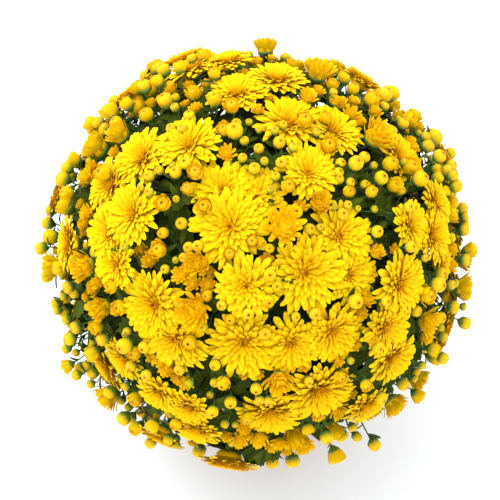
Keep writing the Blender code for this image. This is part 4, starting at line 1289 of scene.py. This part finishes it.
# %% Bud finish
# From the foot to the mouth: green, then yellow. The orange and the near black at the top are painted shade
# going down into the dimple of the mouth.
BUD_COLOURS = (  # from the foot to the mouth
    (0.34, (0.34, 0.36, 0.012)), (0.48, (0.74, 0.49, 0.005)), (0.62, (0.85, 0.59, 0.005)),
    (0.80, (0.74, 0.38, 0.003)), (0.88, (0.03, 0.012, 0.001)),
)
RIPE_YELLOW = (0.80, 0.43, 0.003, 1)
CREASE_SHADE_ORANGE = (0.62, 0.22, 0.002, 1)
UNRIPE_GREEN = (0.28, 0.36, 0.015, 1)
RIPE_SHARE = 0.45
WRAPPED = 7
SWIRL = 1.5
CREASE_EDGE = 4.0
CREASE_DARK = 1.1
GREEN_UP_TO = 1.25


def bud_look():
    """Yellow, greener on the youngest, with painted shade: a near-black mouth and orange creases between the
    wrapped petals.
    """
    look, tree, shader = new_look("bud", 0.6, 0.12)
    along, across = surface_map(tree)
    ripe = math_node(tree, "MULTIPLY", label(tree, "tint"), RIPE_SHARE)
    colour = blended(tree, ripe, ramp(tree, along, *BUD_COLOURS), RIPE_YELLOW)
    # Creases between the wrapped petals, painted orange as shade, stronger towards the mouth.
    cosine = math_node(tree, "MULTIPLY_ADD", across, 2.0, -1.0)
    angle = math_node(tree, "ARCTAN2", label(tree, "turn"), cosine)
    swirl = math_node(tree, "MULTIPLY_ADD", angle, WRAPPED / 2, math_node(tree, "MULTIPLY", along, SWIRL))
    crease = math_node(tree, "ABSOLUTE", math_node(tree, "SINE", swirl))
    rise = math_node(tree, "MINIMUM", math_node(tree, "MULTIPLY", crease, CREASE_EDGE), 1.0)
    line = math_node(tree, "SUBTRACT", 1.0, rise)
    crease_shade = math_node(tree, "MULTIPLY", line, math_node(tree, "MULTIPLY", along, CREASE_DARK))
    colour = blended(tree, crease_shade, colour, CREASE_SHADE_ORANGE)
    unripe = math_node(tree, "MULTIPLY", label(tree, "young"),
                       math_node(tree, "SUBTRACT", GREEN_UP_TO, along))
    colour = blended(tree, unripe, colour, UNRIPE_GREEN)
    tree.links.new(colour, shader.inputs["Base Color"])
    relief(tree, shader, crease, 0.5, 0.4 * MM)
    return look


bud_finish = bud_look()
print("nodes in the bud finish:", len(bud_finish.node_tree.nodes))

# %% Balls of wrapped petals
BUD_HEIGHTS = np.array((0.0, 0.05, 0.34, 0.84, 1.34, 1.64, 1.70, 1.50))
BUD_WIDTHS = np.array((0, 0.44, 0.84, 1.0, 0.90, 0.56, 0.16, 0))
BUD_SIDES = 10
BUD_TALL = (1.02, 0.07)
TALL_LIMITS = (0.9, 1.2)
GREENER = (-0.1, 0.15)
MOUTH_NOTCH = 0.3
CORE_SHARE = 0.84
BUD_SEED = 4000


def bud_balls(items, draw):
    """Turned skins with a dimple for a mouth; the smaller a bud is, the greener it still is."""
    tall = np.clip(draw.normal(*BUD_TALL, (len(items), 1)), *TALL_LIMITS)
    part = revolved(items, BUD_HEIGHTS * tall, BUD_WIDTHS, MOUTH_NOTCH, BUD_SIDES)
    radii = np.array([item["radius"] for item in items])
    smallest = FAR_RADII["bud"][0]
    small = 1 - (radii - smallest) / (BUD_RADII[0] - smallest)
    green = np.clip(small + draw.normal(*GREENER, len(items)), 0, 1)
    return labelled(part, young=green, tint=draw.uniform(0, 1, len(items)))


for number in range(1, STEMS + 1):
    own = [bud for _, bud in borne_by(number - 1, all_buds)]
    cores = [{**head, "radius": head["radius"] * CORE_SHARE} for _, head in borne_by(number - 1, goblets)]
    part = bud_balls(own + cores, np.random.default_rng(BUD_SEED + number))
    make_piece(f"buds_{number}", [part], bud_finish, "petals", f"leafy_stem_{number}")
print_triangles("buds")

# %% [markdown]
# ## Leaves
# The leaves are dark green, about as long as a thumb, with two pairs of rounded lobes and a folded
# midrib. The CAD source leans each one where it meets fewest stalks. That choice can't be repeated
# without its solids, but it can be looked up: the same draws give the same three dozen leans to choose
# from, and the one whose corners are found in the CAD node's mesh is the one that was built.

# %% Find the leaves that the CAD model has
LEAF_EDGE = ((1.0, 0), (0.72, 0.27), (0.50, 0.17), (0.30, 0.33))
LEAF_LENGTHS = (44 * MM, 56 * MM)
LEAF_FOLD = math.radians(16)
LEAF_LEANS = (math.radians(40), math.radians(75))
LEAF_TRIES = 36
LEAF_SINK = 1.9 * MM
SAME_PLACE = 0.1 * MM
ENOUGH_CORNERS = 3
LEAF_SEED = SEED + 10


def leaf_corners(length, foot, direction, outward):
    """The corners of the CAD leaf's edge, from tip to base on both sides."""
    side = outward.cross(direction).normalized()
    face = direction.cross(side)
    corners = []
    for along, out in LEAF_EDGE:
        for hand in (-1, 1):
            wide = length * out
            corners.append(foot - direction * LEAF_SINK + direction * (length * along)
                           + side * (hand * wide * math.cos(LEAF_FOLD)) + face * (wide * math.sin(LEAF_FOLD)))
    return corners


def built_leaves(stem, number):
    """The leaves of a stem's node: foot, direction, outward and length of each."""
    draw = random.Random(LEAF_SEED + number)
    points = mesh_points(f"leafy_stem_{number + 1}")
    leaves = []
    for place in stem["leaf_places"]:
        outward = (place - BALL_CENTRE).normalized()
        length = draw.uniform(*LEAF_LENGTHS)
        start = draw.uniform(0, 2 * math.pi)
        found = []
        for i in range(LEAF_TRIES):
            side = outward.orthogonal().normalized()
            side.rotate(Matrix.Rotation(start + 2 * math.pi * i / LEAF_TRIES, 3, outward))
            lean = draw.uniform(*LEAF_LEANS)
            direction = (outward * math.cos(lean) + side * math.sin(lean)).normalized()
            corners = leaf_corners(length, place, direction, outward)
            found.append((sum(nearest(points, corner) < SAME_PLACE for corner in corners), i, direction))
        matches, _, direction = max(found)
        if matches >= ENOUGH_CORNERS:
            leaves.append({"foot": place, "direction": direction, "outward": outward, "length": length})
    return leaves


leaves = [built_leaves(stem, number) for number, stem in enumerate(stems)]
print("leaves found in the CAD nodes:", [len(own) for own in leaves])

# %% [markdown]
# ## More leaves inside the ball
# The CAD model has only the large leaves low on the branches. A real plant turns a smaller leaf towards
# every gap where light comes in, which closes the ball, so that neither soil nor pot shows from above.
# Here each gap is a direction of the golden spiral that no flower covers, and its leaf grows from the
# stalk or branch that is a leaf's length away. The last 28 are listed. Most of them are there to
# hide the pot from the camera, not because the photograph shows a leaf, and five close a wide gap
# between the flowers. Narrow bracts grow just under the buds.

# %% Leaves that grow towards the gaps
GAP_LAYERS = (  # places on the spiral, distance from the ball's centre, length, share of a head, top
    (300, (100 * MM, 128 * MM), (34 * MM, 50 * MM), 0, 1.0),
    (640, (128 * MM, 156 * MM), (28 * MM, 46 * MM), 0.4, 1.0),
    (560, (120 * MM, 150 * MM), (32 * MM, 50 * MM), 0, 0.25),
    (1100, (154 * MM, 170 * MM), (18 * MM, 34 * MM), 0.85, 1.0),
)
PHOTO_LEAVES = (  # pixel of the blade's middle, how far it is from the ball's centre and its length, in mm
    (218, 438, 166, 28), (225, 440, 168, 28), (214, 439, 168, 32), (220, 443, 170, 32),
    (217, 434, 163, 30), (231, 446, 169, 28), (234, 436, 164, 28), (238, 441, 166, 28),
    (243, 447, 170, 28), (246, 439, 165, 28), (249, 450, 173, 28), (253, 444, 168, 28),
    (258, 452, 174, 28), (260, 446, 169, 28), (266, 448, 170, 28), (270, 454, 175, 28),
    (275, 449, 172, 28), (282, 452, 174, 28), (288, 447, 170, 28), (264, 440, 165, 28),
    (276, 443, 167, 28), (225, 434, 163, 26), (291, 440, 166, 28), (263, 244, 156, 34),
    (276, 246, 156, 34), (277, 242, 148, 34), (274, 240, 162, 30), (262, 252, 150, 32),
)
LIGHT_PULL = 0.8
SAME_LEVEL = 0.8
MIDDLE = 0.6
BLADE_ROOM = 0.5
SPRAY_POINTS = 8
STALK_POINTS = 7
GAP_SEED = SEED + 40


def stalk_points(stem):
    """Points along the outer branches and stalks of a stem, which leaves can grow from."""
    lines = [np.linspace(base, tip, SPRAY_POINTS) for base, tip in stem["sprays"]]
    lines += [np.linspace(foot, head["seat"], STALK_POINTS)[:-1] for foot, head in stem["stalks"]]
    return np.concatenate(lines)


def under_a_head(direction, share):
    """Whether a line from the ball's centre runs through that share of a flower head."""
    return any((direction - head["direction"]).length * SPREAD_RADIUS < head["radius"] * share
               for head in open_heads + young_heads + small_heads)


def gap_leaves(draw):
    """For each gap, a leaf from the point that is about a leaf's length away, and about as far from
    the ball's centre as the gap is, so that most leaves spread level and shade what is under them.
    Each turns its upper side outwards and to the light. The last layer is the one that is seen, with
    the leaves whose middles stand at pixels of the photograph. Of that layer, a leaf whose blade
    would cross a flower head is left out."""
    points = np.concatenate([stalk_points(stem) for stem in stems])
    level = np.linalg.norm(points - np.array(BALL_CENTRE), axis=1)
    owner = np.repeat(range(STEMS), [len(stalk_points(stem)) for stem in stems])
    grown = [[] for _ in stems]

    def grow_to(direction, depth, length, seen, share):
        gap = BALL_CENTRE + direction * depth
        away = np.linalg.norm(points - np.array(gap), axis=1)
        best = int(np.argmin(np.abs(away - length * share) + SAME_LEVEL * np.abs(level - depth)))
        foot = Vector(points[best])
        if seen and share == 1 and under_a_head(((gap + foot) / 2 - BALL_CENTRE).normalized(), BLADE_ROOM):
            return
        outward = (direction + Vector((0, 0, LIGHT_PULL))).normalized()
        grown[owner[best]].append({"foot": foot, "direction": (gap - foot).normalized(), "outward": outward,
                                   "length": float(away[best]) / share, "seen": seen})

    for layer, (places, depths, lengths, cover, top) in enumerate(GAP_LAYERS, 1):
        for direction in golden_spiral(places):
            depth, length = draw.uniform(*depths), draw.uniform(*lengths)
            reachable = math.cos(LOWEST_HEAD + 2 * BUD_FOOTROOM) < direction.z < top
            if reachable and not under_a_head(direction, cover):
                grow_to(direction, depth, length, layer == len(GAP_LAYERS), 1)
    for x, y, depth, length in PHOTO_LEAVES:
        grow_to(photo_direction(x, y, depth * MM), depth * MM, length * MM, True, MIDDLE)
    return grown


small_leaves = gap_leaves(random.Random(GAP_SEED))
print("leaves that grow towards gaps:", sum(len(own) for own in small_leaves))

# %% Bracts under the buds
BRACT_LENGTHS = (9 * MM, 17 * MM)
BRACT_PLACES = (3, 12)
BRACT_LEANS = (0.6, 1.3)


def stalk_bracts(stem, draw):
    """A narrow bract or two just under each bud and half-open head."""
    added = []
    for _, head in stem["stalks"]:
        if head["kind"] == "open":
            continue
        for _ in range(draw.choice((1, 2))):
            place = head["seat"] - head["axis"] * draw.uniform(*BRACT_PLACES) * MM
            side = head["axis"].orthogonal().normalized()
            side.rotate(Matrix.Rotation(draw.uniform(0, 2 * math.pi), 3, head["axis"]))
            lean = draw.uniform(*BRACT_LEANS)
            added.append({"foot": place, "direction": head["axis"] * math.cos(lean) + side * math.sin(lean),
                          "outward": head["axis"], "length": draw.uniform(*BRACT_LENGTHS)})
    return added


# %% Leaf finish
DARK_LEAF = (0.028, 0.047, 0.002, 1)
LIGHT_LEAF = (0.088, 0.115, 0.005, 1)
VEIN_GREEN = (0.10, 0.15, 0.02, 1)
UNDER_GREEN = (0.07, 0.11, 0.02, 1)
MOTTLE_GREEN = (0.018, 0.040, 0.003, 1)
MOTTLE_SHARE = 0.45
SIDE_VEINS = 7.0
VEIN_SLANT = 5.0
VEIN_NARROW = 9.0
MIDRIB_NARROW = 14.0


def leaf_look():
    """Dark green above and paler below, with a light midrib and side veins that slant forward."""
    look, tree, shader = new_look("leaf", 0.5, 0.05)
    along, across = surface_map(tree)
    off = math_node(tree, "ABSOLUTE", math_node(tree, "SUBTRACT", across, 0.5))
    midrib = math_node(tree, "SMOOTH_MIN", 1.0, math_node(tree, "MULTIPLY", off, MIDRIB_NARROW), 0.2)
    swept = math_node(tree, "MULTIPLY", off, VEIN_SLANT)
    slant = math_node(tree, "SUBTRACT", math_node(tree, "MULTIPLY", along, SIDE_VEINS), swept)
    wave = math_node(tree, "ABSOLUTE", math_node(tree, "SUBTRACT", math_node(tree, "FRACT", slant), 0.5))
    veins = math_node(tree, "MINIMUM", math_node(tree, "MULTIPLY", wave, VEIN_NARROW), 1.0)
    both = math_node(tree, "MULTIPLY", midrib, veins)
    upper = blended(tree, both, VEIN_GREEN, blended(tree, label(tree, "tint"), DARK_LEAF, LIGHT_LEAF))
    under = math_node(tree, "LESS_THAN", label(tree, "turn"), -EDGE_SINE)
    mottle = math_node(tree, "MULTIPLY", noise(tree, 260.0, 4.0), MOTTLE_SHARE)
    colour = blended(tree, mottle, blended(tree, under, upper, UNDER_GREEN), MOTTLE_GREEN)
    tree.links.new(colour, shader.inputs["Base Color"])
    relief(tree, shader, both, 0.5, 0.4 * MM)
    return look


leaf_finish = leaf_look()
print("nodes in the leaf finish:", len(leaf_finish.node_tree.nodes))

# %% Lobed blades
LEAF_FORM = (
    np.array((0, 0.03, 0.13, 0.30, 0.42, 0.52, 0.70, 0.82, 0.95, 1.0)),
    np.array((0, 0.03, 0.10, 0.31, 0.24, 0.16, 0.26, 0.18, 0.07, 0)),
    np.array((0, 0, -0.02, 0.05, 0.02, -0.03, 0.06, 0.03, 0.0, 0)),
)
INNER_FORM = (
    np.array((0, 0.10, 0.31, 0.52, 0.72, 0.92, 1.0)),
    np.array((0, 0.06, 0.31, 0.17, 0.26, 0.10, 0)),
    np.array((0, 0, 0.05, -0.03, 0.06, 0, 0)),
)
BRACT_FORM = (np.array((0, 0.08, 0.40, 0.75, 1.0)), np.array((0, 0.06, 0.17, 0.13, 0)), np.zeros(5))
LEAF_THICKNESS = 0.3 * MM
FOLD_SCATTER = 0.12
BLADE_SEED = SEED + 50
LARGE_DROOPS = (0.05, 0.6)
SMALL_DROOPS = (0.1, 0.8)
BRACT_DROOPS = (0.1, 1.0)


def blades(items, form, droops, around, draw):
    """Leaf skins whose middle line is an arc: at share s it has turned by droop * s towards its
    underside, and lies at length * sin(droop s) / droop along, length * (1 - cos(droop s)) / droop
    below. The edges are folded up and swept forward by shares of the length. form holds the
    stations, the half widths and the sweep."""
    foot, ahead, outward = (
        np.array([item[key] for item in items]) for key in ("foot", "direction", "outward")
    )
    length = np.array([item["length"] for item in items])[:, None]
    s, widths, sweep = form
    side = unit(np.cross(outward, ahead))
    face = np.cross(ahead, side)
    bowed = droops[:, None] * s
    along = length * np.sin(bowed) / droops[:, None]
    below = length * (1 - np.cos(bowed)) / droops[:, None]
    line = foot[:, None] + ahead[:, None] * along[..., None] - face[:, None] * below[..., None]
    tangent = ahead[:, None] * np.cos(bowed)[..., None] - face[:, None] * np.sin(bowed)[..., None]
    normal = face[:, None] * np.cos(bowed)[..., None] + ahead[:, None] * np.sin(bowed)[..., None]
    wide = length * widths
    fold = math.tan(LEAF_FOLD) + draw.normal(0, FOLD_SCATTER, wide.shape)
    bend = normal * (wide * fold)[..., None] + tangent * (length * sweep)[..., None]
    thick = np.full_like(wide, LEAF_THICKNESS)
    side = np.broadcast_to(side[:, None], line.shape)
    part = skin(line, side, normal, wide, thick, bend, around=around, edged=True)
    return labelled(part, tint=draw.uniform(0, 1, len(items)))


for number, stem in enumerate(stems):
    draw = np.random.default_rng(BLADE_SEED + number)
    seen = [leaf for leaf in small_leaves[number] if leaf["seen"]]
    inner = [leaf for leaf in small_leaves[number] if not leaf["seen"]]
    bracts = stalk_bracts(stem, random.Random(BLADE_SEED + number))
    kinds = ((leaves[number], LEAF_FORM, LARGE_DROOPS, 8), (seen, LEAF_FORM, SMALL_DROOPS, 6),
             (inner, INNER_FORM, SMALL_DROOPS, 4), (bracts, BRACT_FORM, BRACT_DROOPS, 4))
    parts = [blades(items, form, draw.uniform(*droops, len(items)), around, draw)
             for items, form, droops, around in kinds]
    make_piece(f"leaves_{number + 1}", parts, leaf_finish, "foliage", f"leafy_stem_{number + 1}")
print_triangles("leaves")

# %% [markdown]
# ## Pot
# The photograph doesn't show the pot: the flowers hang over it. A plant of this size is sold in a
# thin-walled plastic pot, turned in one piece with a banded rim, so it is finished plainly as one. The
# profile is the CAD pot's, with rounder edges, carried once round the axis.

# %% Turned pot
POT_HEIGHT = 150 * MM
POT_FOOT_RADIUS = 62.5 * MM
POT_TOP_RADIUS = 84 * MM
POT_WALL = 2 * MM
POT_FLOOR = 3 * MM
RIM_BAND = 16 * MM
RIM_PROUD = 3.5 * MM
RIM_ROUND = 1.2 * MM
DARK_CLAY = (0.34, 0.115, 0.05)
LIGHT_CLAY = (0.43, 0.155, 0.07)
POT_SIDES = 96
POT_SLOPE = (POT_TOP_RADIUS - POT_FOOT_RADIUS) / POT_HEIGHT


def pot_profile():
    """Points (radius, height) from the middle of the underside, up outside and down inside."""
    outer = POT_TOP_RADIUS + RIM_PROUD
    band = POT_HEIGHT - RIM_BAND
    inner = POT_FOOT_RADIUS + POT_SLOPE * POT_FLOOR - POT_WALL
    turns = np.linspace(0, np.pi, 7)
    lip_middle = (POT_TOP_RADIUS - POT_WALL + outer) / 2
    lip_half = (outer - POT_TOP_RADIUS + POT_WALL) / 2
    lip = [(lip_middle + lip_half * math.cos(a), POT_HEIGHT - RIM_ROUND * (1 - math.sin(a))) for a in turns]
    return np.array([
        (0, 0), (POT_FOOT_RADIUS - 8 * MM, 0), (POT_FOOT_RADIUS - RIM_ROUND, 0),
        (POT_FOOT_RADIUS - 0.3 * RIM_ROUND, 0.3 * RIM_ROUND),
        (POT_FOOT_RADIUS + POT_SLOPE * RIM_ROUND, RIM_ROUND),
        (POT_FOOT_RADIUS + POT_SLOPE * (band - MM), band - MM), (POT_FOOT_RADIUS + POT_SLOPE * band, band),
        (outer - RIM_ROUND, band), (outer - 0.4 * MM, band + 0.3 * MM), (outer - 0.2 * MM, band + MM),
        *lip, (POT_TOP_RADIUS - POT_WALL, POT_HEIGHT - 2 * RIM_ROUND), (inner, POT_FLOOR), (0, POT_FLOOR),
    ])


def pot_look():
    """Matt moulded plastic: fine grain and a faint cloudy tone."""
    look, tree, shader = new_look("moulded_pot", 0.55, 0.4)
    colour = ramp(tree, noise(tree, 14.0, 5.0), (0.3, DARK_CLAY), (0.7, LIGHT_CLAY))
    tree.links.new(colour, shader.inputs["Base Color"])
    relief(tree, shader, noise(tree, 900.0, 2.0), 0.25, 0.1 * MM)
    return look


profile = pot_profile()
line = np.zeros((1, len(profile), 3))
line[0, :, 2] = profile[:, 1]
side = np.broadcast_to((1.0, 0, 0), line.shape)
face = np.broadcast_to((0, 1.0, 0), line.shape)
turned_pot = skin(line, side, face, profile[None, :, 0], profile[None, :, 0], around=POT_SIDES)
pot_piece = make_piece("turned_pot", [turned_pot], pot_look(), "pot", "pot")
print_triangles("turned_pot")

# %% Drain holes through the pot's floor
DRAIN_HOLES = 4
DRAIN_RING = 40 * MM
DRAIN_RADIUS = 5 * MM

angles = 2 * np.pi * np.arange(DRAIN_HOLES) / DRAIN_HOLES
below = np.full(DRAIN_HOLES, -POT_FLOOR)
ends = np.stack((DRAIN_RING * np.cos(angles), DRAIN_RING * np.sin(angles), below), axis=1)
drills = tubes(np.stack((ends, ends + (0, 0, 3 * POT_FLOOR)), axis=1), DRAIN_RADIUS, 24)
drill_mesh = bpy.data.meshes.new("drills")
drill_mesh.from_pydata(drills["points"], [], drills["quads"].tolist() + drills["tris"].tolist())
drill = bpy.data.objects.new("drills", drill_mesh)
bpy.context.scene.collection.objects.link(drill)
cut = pot_piece.modifiers.new("drain_holes", "BOOLEAN")
cut.operation = "DIFFERENCE"
cut.object = drill
cut_mesh = bpy.data.meshes.new_from_object(pot_piece.evaluated_get(bpy.context.evaluated_depsgraph_get()))
pot_piece.modifiers.remove(cut)
pot_piece.data = cut_mesh
bpy.data.objects.remove(drill)
print("corners of the pot:", len(cut_mesh.vertices))

# %% [markdown]
# ## Soil
# Potting soil is dark peat with coarser crumbs. The CAD plug has the right shape, so it stays, with a
# rough finish, and loose crumbs are scattered on it.

# %% Soil finish
WET_PEAT = (0.012, 0.008, 0.005)
DRY_PEAT = (0.07, 0.042, 0.024)


def soil_look():
    """Dark peat in clods: coarse and fine noise in both colour and relief."""
    look, tree, shader = new_look("peat", 0.95, 0.2)
    clods = noise(tree, 240.0, 8.0, Roughness=0.7)
    colour = ramp(tree, clods, (0.35, WET_PEAT), (0.65, DRY_PEAT))
    tree.links.new(colour, shader.inputs["Base Color"])
    relief(tree, shader, clods, 1.0, 2 * MM)
    return look


soil_finish = soil_look()
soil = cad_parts["soil"]
soil.data.materials.clear()
soil.data.materials.append(soil_finish)
print("nodes in the soil finish:", len(soil_finish.node_tree.nodes))

# %% Crumbs on the soil
CRUMBS = 260
CRUMB_SEED = SEED + 90
CRUMB_RING = 76 * MM
CRUMB_HEIGHT = 130.5 * MM
CRUMB_SIZES = (1, 3.2)
CRUMB_HEIGHTS = (-0.7, -0.4, 0.3, 0.8)
CRUMB_WIDTHS = (0, 0.9, 0.8, 0)
CRUMB_NOTCH = 0.25
CRUMB_SIDES = 6

crumb_draw = np.random.default_rng(CRUMB_SEED)
ring = CRUMB_RING * np.sqrt(crumb_draw.uniform(0.01, 1, CRUMBS))
turn = crumb_draw.uniform(0, 2 * np.pi, CRUMBS)
crumb_seats = np.stack((ring * np.cos(turn), ring * np.sin(turn), np.full(CRUMBS, CRUMB_HEIGHT)), axis=1)
crumb_axes = unit(crumb_draw.normal(0, 1, (CRUMBS, 3)))
crumb_radii = crumb_draw.uniform(*CRUMB_SIZES, CRUMBS) * MM
crumb_items = [
    {"seat": Vector(seat), "axis": Vector(axis), "radius": radius,
     "toward": Vector(axis).orthogonal().normalized()}
    for seat, axis, radius in zip(crumb_seats, crumb_axes, crumb_radii)
]
crumbs = revolved(crumb_items, CRUMB_HEIGHTS, CRUMB_WIDTHS, CRUMB_NOTCH, CRUMB_SIDES)
make_piece("soil_crumbs", [crumbs], soil_finish, "soil")
print_triangles("soil_crumbs")

# %% [markdown]
# ## Floor and light
# The photograph is a cut-out on white with a soft shadow under the ball. A pale floor under an even
# white sky gives the white, and one large soft lamp from the upper left lays the shadow to the right.

# %% Floor, sky and lamp
FLOOR_HALF = 6.0
FLOOR_SHADE = (0.91, 0.975, 0.995)
FLOOR_WHITE = (0.92, 0.98, 1.0)
SKY = 1.42
LAMP_PLACE = Vector((-0.5, 0.1, 1.7))
LAMP_SIDE = 1.4
LAMP_POWER = 17.0

floor_mesh = bpy.data.meshes.new("floor")
floor_corners = [(x * FLOOR_HALF, y * FLOOR_HALF, 0) for x, y in ((-1, -1), (1, -1), (1, 1), (-1, 1))]
floor_mesh.from_pydata(floor_corners, [], [(0, 1, 2, 3)])
floor = bpy.data.objects.new("floor", floor_mesh)
bpy.context.scene.collection.objects.link(floor)
floor_finish, floor_tree, floor_shader = new_look("pale_floor", 0.9, 0.1)
floor_colour = ramp(floor_tree, noise(floor_tree, 3.0, 2.0), (0.0, FLOOR_SHADE), (1.0, FLOOR_WHITE))
floor_tree.links.new(floor_colour, floor_shader.inputs["Base Color"])
floor_mesh.materials.append(floor_finish)

sky = bpy.data.worlds.new("sky")
sky.use_nodes = True
sky.node_tree.nodes["Background"].inputs["Color"].default_value = (1, 1, 1, 1)
sky.node_tree.nodes["Background"].inputs["Strength"].default_value = SKY
bpy.context.scene.world = sky

lamp = bpy.data.objects.new("soft_lamp", bpy.data.lights.new("soft_lamp", "AREA"))
bpy.context.scene.collection.objects.link(lamp)
lamp.data.size = LAMP_SIDE
lamp.data.energy = LAMP_POWER
lamp.location = LAMP_PLACE
lamp.rotation_euler = (BALL_CENTRE - LAMP_PLACE).to_track_quat("-Z", "Y").to_euler()
bpy.context.scene.view_settings.view_transform = "Standard"
print("lamp to the ball's centre in mm:", round((BALL_CENTRE - LAMP_PLACE).length / MM))

# %% Triangles in the finished plant
print("triangles:", sum(triangles.values()))
